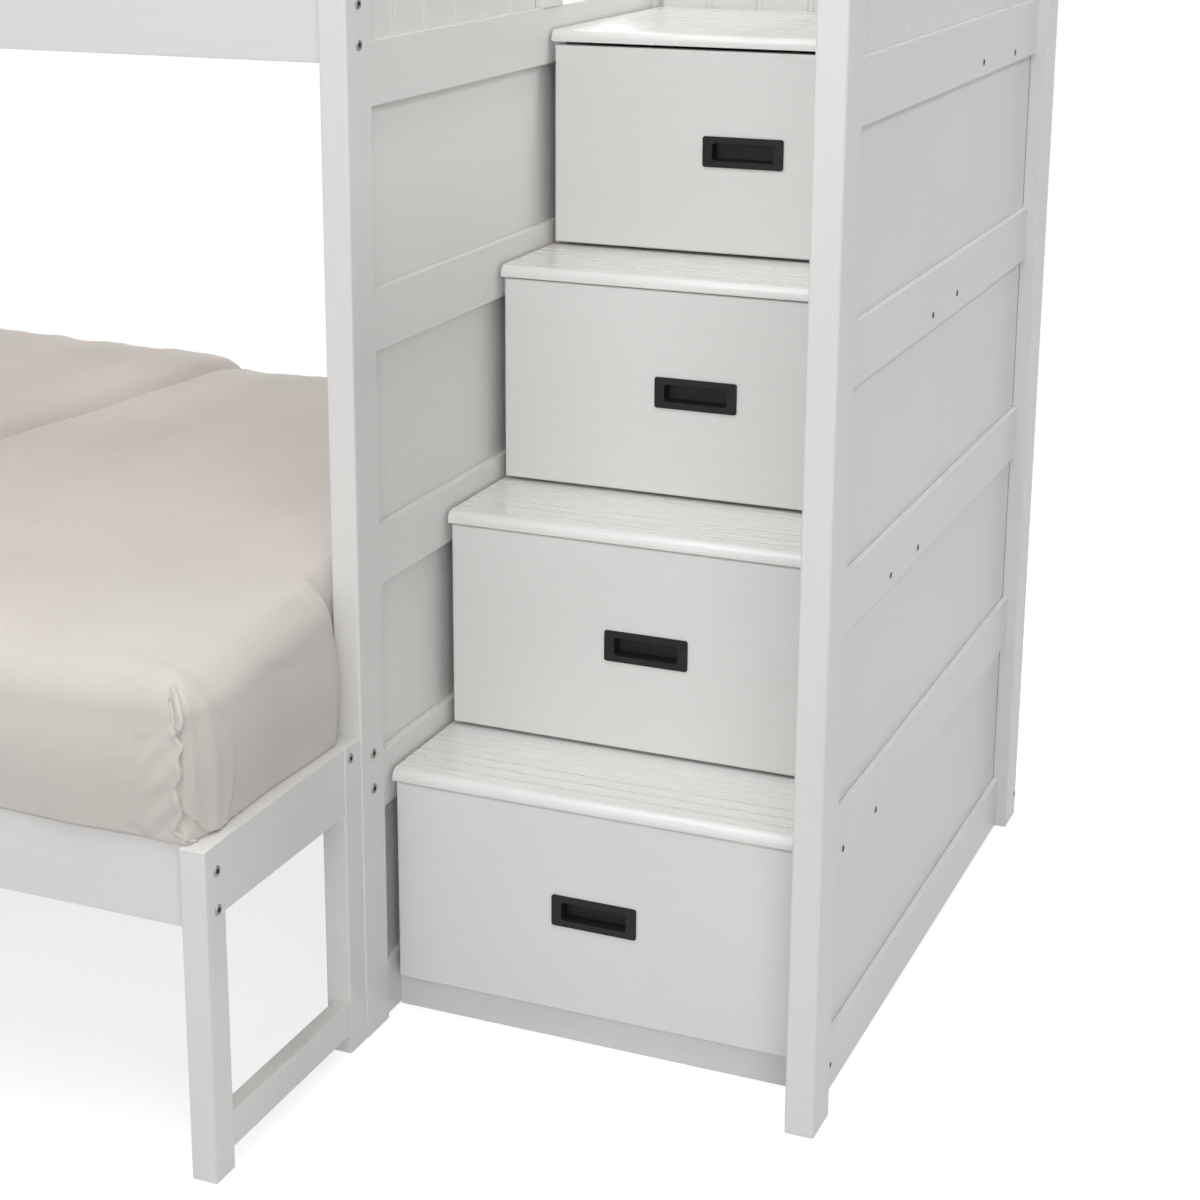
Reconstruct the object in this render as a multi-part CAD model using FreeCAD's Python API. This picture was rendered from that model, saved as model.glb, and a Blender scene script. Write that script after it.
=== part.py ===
import FreeCAD, Part
import os
import math

Vec = FreeCAD.Vector

# Twin-over-full bunk bed with a flight of four drawer steps at one end.
# Millimetres.  While drawing, X = 0 is the stair-side face of the dividing end's posts, Y = 0 is the
# front face of the tall posts and Z = 0 the floor; save() moves every piece so that the origin is the
# bottom centre of the whole bed.  X runs along the bed towards the stairs, Y runs to the back.

# ---------------------------------------------------------------- overall sizes
BED_LENGTH = 1915.0          # clear length between the tall end posts
STAIR_WIDTH = 580.0          # clear width between the dividing end and the outer end
END_DEPTH = 1085.0           # front to back over the tall posts
HEIGHT = 1665.0              # top of the tall posts
LOWER_REACH = 384.0          # how far the lower bed stands out in front of the tall posts

# ---------------------------------------------------------------- end frames
POST_W = 38.0                # post width along X
POST_D = 64.0                # post depth along Y
POST_EASE = 2.0              # eased long edges of the posts
RAIL_H = 80.0                # end rails between the steps
BOTTOM_RAIL_H = 79.0
BOTTOM_RAIL_LIFT = 3.0       # bottom rail's clearance over the floor
TOP_RAIL_H = 76.0
TOP_RAIL_DROP = 15.0         # top rail's upper edge below the post tops
RAIL_T = 22.0
RAIL_SETBACK = 4.0           # dividing end: rails behind the posts' stair-side face
PANEL_T = 9.0
PANEL_SETBACK = 11.0         # dividing end: panels behind the rails
OUTER_PANEL_SETBACK = 8.0    # outer and head ends: panels behind the rails
TONGUE = 8.0                 # how far a panel runs into the groove of a rail or post
GROOVE_GAP = 0.3             # clearance round a panel in its groove
MID_POST_Y = 592.0           # front edge of the post beside the entry
MID_POST_D = 66.0

# ---------------------------------------------------------------- beaded boards
BOARD_PITCH = 88.0           # nominal width of one board
BEAD_W = 9.5                 # between the two V cuts of a bead
V_CUT_W = 3.0
V_CUT_DEPTH = 2.0

# ---------------------------------------------------------------- steps
STEPS = 4
RISE = 308.0                 # height from one tread to the next
GOING = 176.6                # depth from one tread to the next
FIRST_FRONT_Y = 84.0         # face of the lowest drawer front
FIRST_TREAD_TOP = 355.0
TREAD_T = 16.0
TREAD_END_GAP = 1.0          # tread's end clear of the posts' faces
NOSE_OVERHANG = 2.0          # nosing in front of the drawer face
NOSE_RADIUS = 13.0           # rounding over the nosing's upper edge
TREAD_LAP = 28.0             # tread runs on behind the next drawer's face
GRIP_GROOVES = 3
GRIP_PITCH = 25.0
GRIP_W = 3.0
GRIP_DEPTH = 2.0
GRIP_START = 31.0            # first grip groove behind the nosing's edge
RAIL_OVER_TREAD = 31.5       # end rail's upper edge above the tread beside it
CLEAT_W = 14.0
CLEAT_H = 30.0
PLINTH_SETBACK = 23.0
PLINTH_H = 53.5
PLINTH_T = 18.0
PLINTH_GAP = 1.0             # plinth below the lowest drawer front's lower edge
BACK_SETBACK = 20.0          # beaded back board behind the rear posts' front faces
BACK_SIDE_GAP = 8.0          # back board clear of the bolts in the rear posts
BATTEN_W = 14.0
BATTEN_D = 18.0

# ---------------------------------------------------------------- drawers
FRONT_T = 18.0
FRONT_EASE = 2.0
PULL_RAISE = 2.0             # pull's centre above the middle of the front
FRONT_SIDE_GAP = 5.5         # beside each drawer front
FRONT_OVER_TREAD = 4.5       # drawer front above the tread under it
FRONT_UNDER_TREAD = 2.0      # drawer front below its own tread
LANDING_EXTRA_GAP = 3.0      # the top drawer's front ends lower still
BOX_SIDE_T = 12.0
BOX_H = 230.0
BOX_BACK_GAP = 34.2          # top drawer's box to the back board
BOX_SIDE_CLEAR = 17.0        # box side to the clear width of the flight
BOX_LIFT = 2.5               # box's lower edge above the drawer front's lower edge
BOTTOM_T = 5.0
BOTTOM_UP = 10.0             # drawer bottom above the box's lower edge
BOTTOM_TONGUE = 6.0
RUN_GAP = 0.3                # running clearance of the box on its guides
SIDE_RUN_GAP = 2.0
GUIDE_H = 30.0
GUIDE_SHELF = 14.0           # width of the shelf under the box side
GUIDE_LIP = 18.0             # height of the lip beside the box side

# ---------------------------------------------------------------- flush pulls
PULL_W = 118.0
PULL_H = 43.0
PULL_T = 2.0
PULL_CORNER = 3.5
CUP_W = 90.0
CUP_H = 25.0
CUP_DEPTH = 13.0
CUP_WALL = 1.6
CUP_CORNER = 4.0
CUP_FLARE = 2.0              # the cup is wider at its mouth than at its floor
PULL_SEAT_GAP = 0.4          # cup in the pocket of the drawer front

# ---------------------------------------------------------------- upper bunk
SIDE_RAIL_T = 24.0
SIDE_RAIL_H = 93.0
SIDE_RAIL_Z = 1287.0
GUARD_RAIL_H = 66.0
GUARD_SLAT_W = 45.0
GUARD_SLAT_T = 14.0
GUARD_SLATS = 15
LEDGE_W = 24.0
LEDGE_H = 30.0
LEDGE_UP = 8.0               # ledge above the side rail's lower edge
SLAT_T = 18.0
SLAT_W = 70.0
SLATS = 12
SLAT_END_GAP = 3.0

# ---------------------------------------------------------------- lower bed
LEG_W = 35.0
LEG_D = 44.0
LOWER_TOP = 429.0            # top of the lower rails, legs and short posts
LOWER_SIDE_H = 107.0
LOWER_END_H = 91.0
LOWER_END_T = 22.0
MIDDLE_RAIL_H = 78.0
LOWER_SIDE_SETBACK = 14.0    # front rail behind the legs' front faces
STRETCHER_Z = 28.0
STRETCHER_H = 46.0
SHORT_POST_D = 44.0
LEG_INSET = 1.0              # legs behind the posts' stair-side face
LOWER_LEDGE_H = 26.0
LOWER_SLAT_DROP = 2.0        # slats below the tops of the lower rails
MIDDLE_FEET = 2

# ---------------------------------------------------------------- bedding
MATTRESS_T = 185.0
MATTRESS_END_GAP = 8.0
MATTRESS_SIDE_GAP = 7.0
MATTRESS_EDGE = 28.0
QUILT_T = 21.0
QUILT_GAP = 0.4              # quilt over the mattress, and its hem over the rails
QUILT_LENGTH = 1375.0        # from the foot to the turned-down fold
TURNED_LENGTH = 600.0
TURNED_T = 42.0
QUILT_CROWN = 12.0
QUILT_FULLNESS = 8.0         # how far its sides swell between hem and shoulder
QUILT_FRONT_OVER = 4.0       # hem in front of the lower front rail
QUILT_FOOT_SETBACK = 18.0    # hem behind the stair-side face of the legs
QUILT_SHOULDER = 46.0        # rounding between a side and the top
FOLD_SLOPE = 60.0            # length over which the turned-down edge dies out
FOLD_BULGE = 0.62            # share of that edge's length and height where its curve turns down
TRIM_RISE = 24.0             # trimming outlines above the quilt's flat top, clear of its crown
CUT_PAST = 1.0               # how far a cutting block runs past what it cuts

# ---------------------------------------------------------------- fasteners
BOLT_R = 6.5
BOLT_HEAD_H = 1.6
BOLT_SPREAD = 49.0           # between the two bolts of one rail joint
BOLT_SIDES = 12
SHORT_BOLT_DROP = 17.0       # short post's bolt below its top
SHORT_BOLT_OUT = 29.0        # short post's bolt in front of the tall post
LOWER_BOLT_DROP = 4.0        # lower rails' bolts below the middle of the front rail

# ---------------------------------------------------------------- places worked out from the sizes
X_OUTER = STAIR_WIDTH + POST_W
X_HEAD = -(POST_W + BED_LENGTH + POST_W)
ORIGIN = Vec((X_OUTER + X_HEAD) / 2.0, (END_DEPTH - LOWER_REACH) / 2.0, 0)
REAR_POST_Y = END_DEPTH - POST_D
TOP_RAIL_Z1 = HEIGHT - TOP_RAIL_DROP
TOP_RAIL_Z0 = TOP_RAIL_Z1 - TOP_RAIL_H
BOTTOM_RAIL_Z1 = BOTTOM_RAIL_LIFT + BOTTOM_RAIL_H
DIVIDER_RAIL_X = -RAIL_SETBACK - RAIL_T
DIVIDER_PANEL_X = -RAIL_SETBACK - PANEL_SETBACK - PANEL_T
OUTER_RAIL_X = STAIR_WIDTH
OUTER_PANEL_X = STAIR_WIDTH + RAIL_T - OUTER_PANEL_SETBACK - PANEL_T
HEAD_RAIL_X = X_HEAD + POST_W - RAIL_T
HEAD_PANEL_X = HEAD_RAIL_X + OUTER_PANEL_SETBACK
PANEL_GROOVE = TONGUE + GROOVE_GAP
BACK_PANEL_Y = REAR_POST_Y + BACK_SETBACK
BOX_LENGTH = BACK_PANEL_Y - BOX_BACK_GAP - FRONT_T - (FIRST_FRONT_Y + (STEPS - 1) * GOING)
POST_SIDE_RAIL_Y = (POST_D - SIDE_RAIL_T) / 2.0
FRONT_RAIL_INNER = LOWER_SIDE_SETBACK + SIDE_RAIL_T - LOWER_REACH
REAR_RAIL_INNER = REAR_POST_Y + POST_SIDE_RAIL_Y

FACET_TOLERANCE = 0.2        # for the count of facets that is printed at the end
ON_FACE = 0.01               # an edge this near a plane lies in it

node_count = 0
facet_count = 0


def tread_top(step):
    return FIRST_TREAD_TOP + step * RISE


def rail_top(step):
    """Upper edge of the end rail beside a tread."""
    return tread_top(step) + RAIL_OVER_TREAD


def front_y(step):
    return FIRST_FRONT_Y + step * GOING


def front_bottom(step):
    if step == 0:
        return PLINTH_H
    return tread_top(step - 1) + FRONT_OVER_TREAD


def front_top(step):
    top = tread_top(step) - TREAD_T - FRONT_UNDER_TREAD
    return top - LANDING_EXTRA_GAP if step == STEPS - 1 else top


def box(x0, x1, y0, y1, z0, z1):
    return Part.makeBox(x1 - x0, y1 - y0, z1 - z0, Vec(x0, y0, z0))


def prism(points, direction):
    """Solid swept from a closed outline of straight edges."""
    wire = Part.makePolygon(points + [points[0]])
    return Part.Face(wire).extrude(direction)


def save(name, solids):
    """Write one node: its solids, moved to the bed's own origin."""
    global node_count
    global facet_count
    moved = []
    for solid in solids:
        copy = solid.copy()
        copy.translate(ORIGIN * -1.0)
        moved.append(copy)
        facet_count += len(copy.tessellate(FACET_TOLERANCE)[1])
    shape = moved[0] if len(moved) == 1 else Part.makeCompound(moved)
    shape.exportStep("parts/" + name + ".step")
    node_count += 1


# ================================================================ end frames
def post(x0, y0, depth, z0, z1, width=POST_W):
    """Upright with its four long edges eased."""
    c = POST_EASE
    outline = [Vec(x0 + c, y0, z0), Vec(x0 + width - c, y0, z0), Vec(x0 + width, y0 + c, z0),
               Vec(x0 + width, y0 + depth - c, z0), Vec(x0 + width - c, y0 + depth, z0),
               Vec(x0 + c, y0 + depth, z0), Vec(x0, y0 + depth - c, z0), Vec(x0, y0 + c, z0)]
    return prism(outline, Vec(0, 0, z1 - z0))


def upright_groove(x_panel, y_face, side, z0, z1):
    """Groove in a post for a panel's edge; side is +1 where the panel lies behind the post's face."""
    depth = PANEL_GROOVE
    y0 = y_face - depth if side > 0 else y_face
    return box(x_panel - GROOVE_GAP, x_panel + PANEL_T + GROOVE_GAP, y0, y0 + depth,
               z0 - PANEL_GROOVE, z1 + PANEL_GROOVE)


def end_rail(x0, z0, z1, y0, y1, x_panel, over=None, under=None):
    """Cross rail of an end frame, grooved where a panel stands over it or hangs under it."""
    rail = box(x0, x0 + RAIL_T, y0, y1, z0, z1)
    gx0 = x_panel - GROOVE_GAP
    gx1 = x_panel + PANEL_T + GROOVE_GAP
    if over:
        rail = rail.cut(box(gx0, gx1, over[0], over[1], z1 - PANEL_GROOVE, z1))
    if under:
        rail = rail.cut(box(gx0, gx1, under[0], under[1], z0, z0 + PANEL_GROOVE))
    return rail


def flat_panel(x_panel, y0, y1, z0, z1):
    """Flat panel whose edges sit in the grooves round one bay."""
    return box(x_panel, x_panel + PANEL_T, y0 - TONGUE, y1 + TONGUE, z0 - TONGUE, z1 + TONGUE)


def bead_cuts(start, length):
    """Places of the V cuts along a beaded board of equal boards."""
    boards = max(1, int(round(length / BOARD_PITCH)))
    pitch = length / boards
    places = []
    for board in range(1, boards):
        middle = start + board * pitch
        places.append(middle - BEAD_W / 2.0)
        places.append(middle + BEAD_W / 2.0)
    return places


def beaded_outline(a0, a1, places, thickness, two_sides):
    """(along, across) outline of a beaded board; the face at across = thickness has the V cuts."""
    half = V_CUT_W / 2.0
    near = [(a0, 0.0)]
    if two_sides:
        for place in places:
            near += [(place - half, 0.0), (place, V_CUT_DEPTH), (place + half, 0.0)]
    near.append((a1, 0.0))
    far = [(a1, thickness)]
    for place in reversed(places):
        far += [(place + half, thickness), (place, thickness - V_CUT_DEPTH), (place - half, thickness)]
    far.append((a0, thickness))
    return near + far


def beaded_end_board(x_panel, y0, y1, z0, z1):
    """Beaded board in an end frame, its edges in the grooves round the bay."""
    outline = beaded_outline(y0 - TONGUE, y1 + TONGUE, bead_cuts(y0, y1 - y0), PANEL_T, True)
    points = [Vec(x_panel + across, along, z0 - TONGUE) for along, across in outline]
    return prism(points, Vec(0, 0, z1 - z0 + 2.0 * TONGUE))


def bays():
    """Height ranges of the four panelled bays under the landing rail."""
    edges = [(BOTTOM_RAIL_Z1, rail_top(0) - RAIL_H)]
    for step in range(STEPS - 1):
        edges.append((rail_top(step), rail_top(step + 1) - RAIL_H))
    return edges


def dividing_end():
    landing_rail_top = rail_top(STEPS - 1)
    inner = (POST_D, REAR_POST_Y)
    board = (POST_D, MID_POST_Y)
    front = post(-POST_W, 0, POST_D, 0, HEIGHT)
    rear = post(-POST_W, REAR_POST_Y, POST_D, 0, HEIGHT)
    middle = post(-POST_W, MID_POST_Y, MID_POST_D, landing_rail_top, HEIGHT)
    panels = []
    for z0, z1 in bays():
        panels.append(flat_panel(DIVIDER_PANEL_X, inner[0], inner[1], z0, z1))
    low = BOTTOM_RAIL_Z1
    high = landing_rail_top - RAIL_H
    front = front.cut(upright_groove(DIVIDER_PANEL_X, inner[0], 1, low, high))
    front = front.cut(upright_groove(DIVIDER_PANEL_X, inner[0], 1, landing_rail_top, TOP_RAIL_Z0))
    rear = rear.cut(upright_groove(DIVIDER_PANEL_X, inner[1], -1, low, high))
    edge = box(DIVIDER_PANEL_X - GROOVE_GAP, DIVIDER_PANEL_X + PANEL_T + GROOVE_GAP, MID_POST_Y,
               MID_POST_Y + PANEL_GROOVE, landing_rail_top, TOP_RAIL_Z0 + PANEL_GROOVE)
    middle = middle.cut(edge)

    rails = [end_rail(DIVIDER_RAIL_X, BOTTOM_RAIL_LIFT, low, inner[0], inner[1], DIVIDER_PANEL_X, over=inner)]
    for step in range(STEPS - 1):
        top = rail_top(step)
        rails.append(end_rail(DIVIDER_RAIL_X, top - RAIL_H, top, inner[0], inner[1], DIVIDER_PANEL_X,
                              over=inner, under=inner))
    board_groove = (board[0], board[1] + PANEL_GROOVE)
    rails.append(end_rail(DIVIDER_RAIL_X, landing_rail_top - RAIL_H, landing_rail_top, inner[0], inner[1],
                          DIVIDER_PANEL_X, over=board_groove, under=inner))
    rails.append(end_rail(DIVIDER_RAIL_X, TOP_RAIL_Z0, TOP_RAIL_Z1, board[0], board[1], DIVIDER_PANEL_X,
                          under=board))
    save("dividing_front_post", [front])
    save("dividing_rear_post", [rear])
    save("dividing_entry_post", [middle])
    save("dividing_rails", rails)
    save("dividing_panels", panels)
    save("dividing_beadboard", [beaded_end_board(DIVIDER_PANEL_X, board[0], board[1],
                                                 landing_rail_top, TOP_RAIL_Z0)])


def outer_end():
    landing_rail_top = rail_top(STEPS - 1)
    inner = (POST_D, REAR_POST_Y)
    front = post(STAIR_WIDTH, 0, POST_D, 0, HEIGHT)
    rear = post(STAIR_WIDTH, REAR_POST_Y, POST_D, 0, HEIGHT)
    panels = []
    for z0, z1 in bays():
        panels.append(flat_panel(OUTER_PANEL_X, inner[0], inner[1], z0, z1))
    front = front.cut(upright_groove(OUTER_PANEL_X, inner[0], 1, BOTTOM_RAIL_Z1, TOP_RAIL_Z0))
    rear = rear.cut(upright_groove(OUTER_PANEL_X, inner[1], -1, BOTTOM_RAIL_Z1, TOP_RAIL_Z0))
    rails = [end_rail(OUTER_RAIL_X, BOTTOM_RAIL_LIFT, BOTTOM_RAIL_Z1, inner[0], inner[1], OUTER_PANEL_X,
                      over=inner)]
    for step in range(STEPS):
        top = rail_top(step)
        rails.append(end_rail(OUTER_RAIL_X, top - RAIL_H, top, inner[0], inner[1], OUTER_PANEL_X,
                              over=inner, under=inner))
    rails.append(end_rail(OUTER_RAIL_X, TOP_RAIL_Z0, TOP_RAIL_Z1, inner[0], inner[1], OUTER_PANEL_X,
                          under=inner))
    save("outer_front_post", [front])
    save("outer_rear_post", [rear])
    save("outer_rails", rails)
    save("outer_panels", panels)
    save("outer_beadboard", [beaded_end_board(OUTER_PANEL_X, inner[0], inner[1],
                                              landing_rail_top, TOP_RAIL_Z0)])


def head_end():
    """Far end of the bed: a beaded headboard for each bunk, open between the two."""
    inner = (POST_D, REAR_POST_Y)
    lower_board = (rail_top(0), rail_top(2) - RAIL_H)
    upper_board = (rail_top(STEPS - 1), TOP_RAIL_Z0)
    front = post(X_HEAD, 0, POST_D, 0, HEIGHT)
    rear = post(X_HEAD, REAR_POST_Y, POST_D, 0, HEIGHT)
    for z0, z1 in (lower_board, upper_board):
        front = front.cut(upright_groove(HEAD_PANEL_X, inner[0], 1, z0, z1))
        rear = rear.cut(upright_groove(HEAD_PANEL_X, inner[1], -1, z0, z1))
    rails = [
        end_rail(HEAD_RAIL_X, BOTTOM_RAIL_LIFT, BOTTOM_RAIL_Z1, inner[0], inner[1], HEAD_PANEL_X),
        end_rail(HEAD_RAIL_X, lower_board[0] - RAIL_H, lower_board[0], inner[0], inner[1], HEAD_PANEL_X,
                 over=inner),
        end_rail(HEAD_RAIL_X, lower_board[1], lower_board[1] + RAIL_H, inner[0], inner[1], HEAD_PANEL_X,
                 under=inner),
        end_rail(HEAD_RAIL_X, upper_board[0] - RAIL_H, upper_board[0], inner[0], inner[1], HEAD_PANEL_X,
                 over=inner),
        end_rail(HEAD_RAIL_X, TOP_RAIL_Z0, TOP_RAIL_Z1, inner[0], inner[1], HEAD_PANEL_X, under=inner),
    ]
    boards = []
    for z0, z1 in (lower_board, upper_board):
        boards.append(beaded_end_board(HEAD_PANEL_X, inner[0], inner[1], z0, z1))
    save("head_front_post", [front])
    save("head_rear_post", [rear])
    save("head_rails", rails)
    save("head_beadboards", boards)


# ================================================================ steps
def tread(step, y_back):
    """Tread with a nosing rounded over from above and, on the lower steps, grip grooves."""
    top = tread_top(step)
    bottom = top - TREAD_T
    y_nose = front_y(step) - NOSE_OVERHANG
    x0 = TREAD_END_GAP
    k = NOSE_RADIUS * (1.0 - math.sqrt(0.5))
    nose_low = Vec(x0, y_nose, bottom)
    round_start = Vec(x0, y_nose, top - NOSE_RADIUS)
    round_end = Vec(x0, y_nose + NOSE_RADIUS, top)
    edges = [Part.makeLine(nose_low, round_start),
             Part.Arc(round_start, Vec(x0, y_nose + k, top - k), round_end).toShape()]
    outline = [round_end]
    if step < STEPS - 1:
        for groove in range(GRIP_GROOVES):
            y0 = y_nose + GRIP_START + groove * GRIP_PITCH
            outline += [Vec(x0, y0, top), Vec(x0, y0, top - GRIP_DEPTH),
                        Vec(x0, y0 + GRIP_W, top - GRIP_DEPTH), Vec(x0, y0 + GRIP_W, top)]
    outline += [Vec(x0, y_back, top), Vec(x0, y_back, bottom), nose_low]
    for start, end in zip(outline, outline[1:]):
        edges.append(Part.makeLine(start, end))
    face = Part.Face(Part.Wire(edges))
    return face.extrude(Vec(STAIR_WIDTH - 2 * TREAD_END_GAP, 0, 0))


def tread_back(step):
    if step == STEPS - 1:
        return BACK_PANEL_Y
    return front_y(step + 1) + TREAD_LAP


def both_sides(x0, x1, y0, y1, z0, z1):
    """One block at the dividing end and its mirror image at the outer end."""
    mirror_x0 = STAIR_WIDTH - max(x0, 0.0)
    return [box(x0, x1, y0, y1, z0, z1), box(STAIR_WIDTH - x1, mirror_x0, y0, y1, z0, z1)]


def steps():
    cleats = []
    for step in range(STEPS):
        save("tread_" + str(step + 1), [tread(step, tread_back(step))])
        under = tread_top(step) - TREAD_T
        cleats += both_sides(-RAIL_SETBACK, CLEAT_W, front_y(step) + FRONT_T + SIDE_RUN_GAP,
                             min(tread_back(step), REAR_POST_Y), under - CLEAT_H, under)
    save("tread_cleats", cleats)
    y0 = FIRST_FRONT_Y + PLINTH_SETBACK
    save("plinth", [box(-RAIL_SETBACK, STAIR_WIDTH, y0, y0 + PLINTH_T, 0,
                       PLINTH_H - PLINTH_GAP)])


def stair_back():
    """Beaded board behind the flight and the landing, its battens and the landing's top rail."""
    x0 = BACK_SIDE_GAP
    x1 = STAIR_WIDTH - BACK_SIDE_GAP
    outline = beaded_outline(x0, x1, bead_cuts(0.0, STAIR_WIDTH), PANEL_T, False)
    z0 = BOTTOM_RAIL_LIFT
    points = [Vec(along, BACK_PANEL_Y + PANEL_T - across, z0) for along, across in outline]
    save("stair_back_board", [prism(points, Vec(0, 0, TOP_RAIL_Z0 + TONGUE - z0))])
    batten_y = BACK_PANEL_Y + PANEL_T
    batten_top = tread_top(STEPS - 1) - TREAD_T
    save("stair_back_battens", both_sides(0, BATTEN_W, batten_y, batten_y + BATTEN_D,
                                          z0, batten_top))
    rail_y = BACK_PANEL_Y - (RAIL_T - PANEL_T) / 2.0
    rail = box(0, STAIR_WIDTH, rail_y, rail_y + RAIL_T, TOP_RAIL_Z0, TOP_RAIL_Z1)
    groove = box(0, STAIR_WIDTH, BACK_PANEL_Y - GROOVE_GAP, BACK_PANEL_Y + PANEL_T + GROOVE_GAP,
                 TOP_RAIL_Z0, TOP_RAIL_Z0 + PANEL_GROOVE)
    save("landing_top_rail", [rail.cut(groove)])


def drawer_guides():
    """L-shaped guides along the end rails; each box side runs on a shelf beside a lip."""
    guides = []
    lip_edge = BOX_SIDE_CLEAR - SIDE_RUN_GAP
    shelf_edge = lip_edge + GUIDE_SHELF
    for step in range(STEPS):
        shelf = front_bottom(step) + BOX_LIFT - RUN_GAP
        y0 = guide_start(step)
        along = Vec(0, front_y(step) + FRONT_T + BOX_LENGTH - y0, 0)
        low = shelf - GUIDE_H
        lip = shelf + GUIDE_LIP
        near = [(-RAIL_SETBACK, low), (shelf_edge, low), (shelf_edge, shelf), (lip_edge, shelf),
                (lip_edge, lip), (-RAIL_SETBACK, lip)]
        far = [(STAIR_WIDTH - max(x, 0.0), z) for x, z in near]
        guides.append(prism([Vec(x, y0, z) for x, z in near], along))
        guides.append(prism([Vec(x, y0, z) for x, z in far], along))
    save("drawer_guides", guides)


def guide_start(step):
    """Where a drawer's guides may begin: behind the plinth or behind the tread below."""
    if step == 0:
        return FIRST_FRONT_Y + PLINTH_SETBACK + PLINTH_T
    return tread_back(step - 1)


# ================================================================ drawers
def rounded_rectangle(width, height, radius, centre_x, centre_z, y):
    """Closed wire in the XZ plane with rounded corners."""
    w = width / 2.0
    h = height / 2.0
    k = radius * (1.0 - math.sqrt(0.5))
    corners = [(1, -1), (1, 1), (-1, 1), (-1, -1)]
    edges = []
    ends = []
    for sx, sz in corners:
        cx = centre_x + sx * w
        cz = centre_z + sz * h
        along_x = Vec(cx - sx * radius, y, cz)
        along_z = Vec(cx, y, cz - sz * radius)
        middle = Vec(cx - sx * k, y, cz - sz * k)
        first, last = (along_x, along_z) if sx * sz < 0 else (along_z, along_x)
        edges.append(Part.Arc(first, middle, last).toShape())
        ends.append((first, last))
    for index in range(4):
        edges.append(Part.makeLine(ends[index][1], ends[(index + 1) % 4][0]))
    return Part.Wire(Part.__sortEdges__(edges))


def plate(width, height, radius, centre_x, centre_z, y0, depth):
    face = Part.Face(rounded_rectangle(width, height, radius, centre_x, centre_z, y0))
    return face.extrude(Vec(0, depth, 0))


def drawer_front(step, centre_x, pull_z):
    """Slab with an eased face and a pocket for the cup of its pull."""
    y0 = front_y(step)
    front = box(FRONT_SIDE_GAP, STAIR_WIDTH - FRONT_SIDE_GAP, y0, y0 + FRONT_T,
                front_bottom(step), front_top(step))
    face_edges = [edge for edge in front.Edges
                  if abs(edge.BoundBox.YMin - y0) < ON_FACE and abs(edge.BoundBox.YMax - y0) < ON_FACE]
    front = front.makeChamfer(FRONT_EASE, face_edges)
    half_w = CUP_W / 2.0 + CUP_WALL + PULL_SEAT_GAP
    half_h = CUP_H / 2.0 + CUP_WALL + PULL_SEAT_GAP
    pocket = box(centre_x - half_w, centre_x + half_w, y0, y0 + CUP_DEPTH + CUP_WALL + PULL_SEAT_GAP,
                 pull_z - half_h, pull_z + half_h)
    return front.cut(pocket)


def flush_pull(step, centre_x, pull_z):
    """Rounded plate with a tapering finger cup let into the drawer front."""
    y0 = front_y(step)
    body = plate(PULL_W, PULL_H, PULL_CORNER, centre_x, pull_z, y0 - PULL_T, PULL_T)
    half_w = CUP_W / 2.0 + CUP_WALL
    half_h = CUP_H / 2.0 + CUP_WALL
    cup = box(centre_x - half_w, centre_x + half_w, y0, y0 + CUP_DEPTH + CUP_WALL,
              pull_z - half_h, pull_z + half_h)
    mouth = rounded_rectangle(CUP_W, CUP_H, CUP_CORNER, centre_x, pull_z, y0 - PULL_T)
    floor = rounded_rectangle(CUP_W - 2 * CUP_FLARE, CUP_H - 2 * CUP_FLARE, CUP_CORNER - CUP_FLARE / 2.0,
                              centre_x, pull_z, y0 + CUP_DEPTH)
    hollow = Part.makeLoft([mouth, floor], True, True)
    return body.fuse(cup).cut(hollow).removeSplitter()


def drawer_box(step):
    """Two grooved sides, the inner front and the back."""
    y0 = front_y(step) + FRONT_T
    y1 = y0 + BOX_LENGTH
    z0 = front_bottom(step) + BOX_LIFT
    z1 = z0 + BOX_H
    x0 = BOX_SIDE_CLEAR
    x1 = STAIR_WIDTH - BOX_SIDE_CLEAR
    groove_z = z0 + BOTTOM_UP
    groove_h = BOTTOM_T + 2 * GROOVE_GAP
    groove_d = BOTTOM_TONGUE + GROOVE_GAP
    left = box(x0, x0 + BOX_SIDE_T, y0, y1, z0, z1)
    left = left.cut(box(x0 + BOX_SIDE_T - groove_d, x0 + BOX_SIDE_T, y0, y1, groove_z, groove_z + groove_h))
    right = box(x1 - BOX_SIDE_T, x1, y0, y1, z0, z1)
    right = right.cut(box(x1 - BOX_SIDE_T, x1 - BOX_SIDE_T + groove_d, y0, y1, groove_z, groove_z + groove_h))
    inner0 = x0 + BOX_SIDE_T
    inner1 = x1 - BOX_SIDE_T
    inner_front = box(inner0, inner1, y0, y0 + BOX_SIDE_T, z0, z1)
    inner_front = inner_front.cut(box(inner0, inner1, y0 + BOX_SIDE_T - groove_d, y0 + BOX_SIDE_T,
                                      groove_z, groove_z + groove_h))
    back = box(inner0, inner1, y1 - BOX_SIDE_T, y1, groove_z + groove_h, z1)
    return [left, right, inner_front, back]


def drawer_bottom(step):
    y0 = front_y(step) + FRONT_T
    z0 = front_bottom(step) + BOX_LIFT + BOTTOM_UP + GROOVE_GAP
    inner0 = BOX_SIDE_CLEAR + BOX_SIDE_T
    inner1 = STAIR_WIDTH - inner0
    return box(inner0 - BOTTOM_TONGUE, inner1 + BOTTOM_TONGUE, y0 + BOX_SIDE_T - BOTTOM_TONGUE,
               y0 + BOX_LENGTH, z0, z0 + BOTTOM_T)


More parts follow.
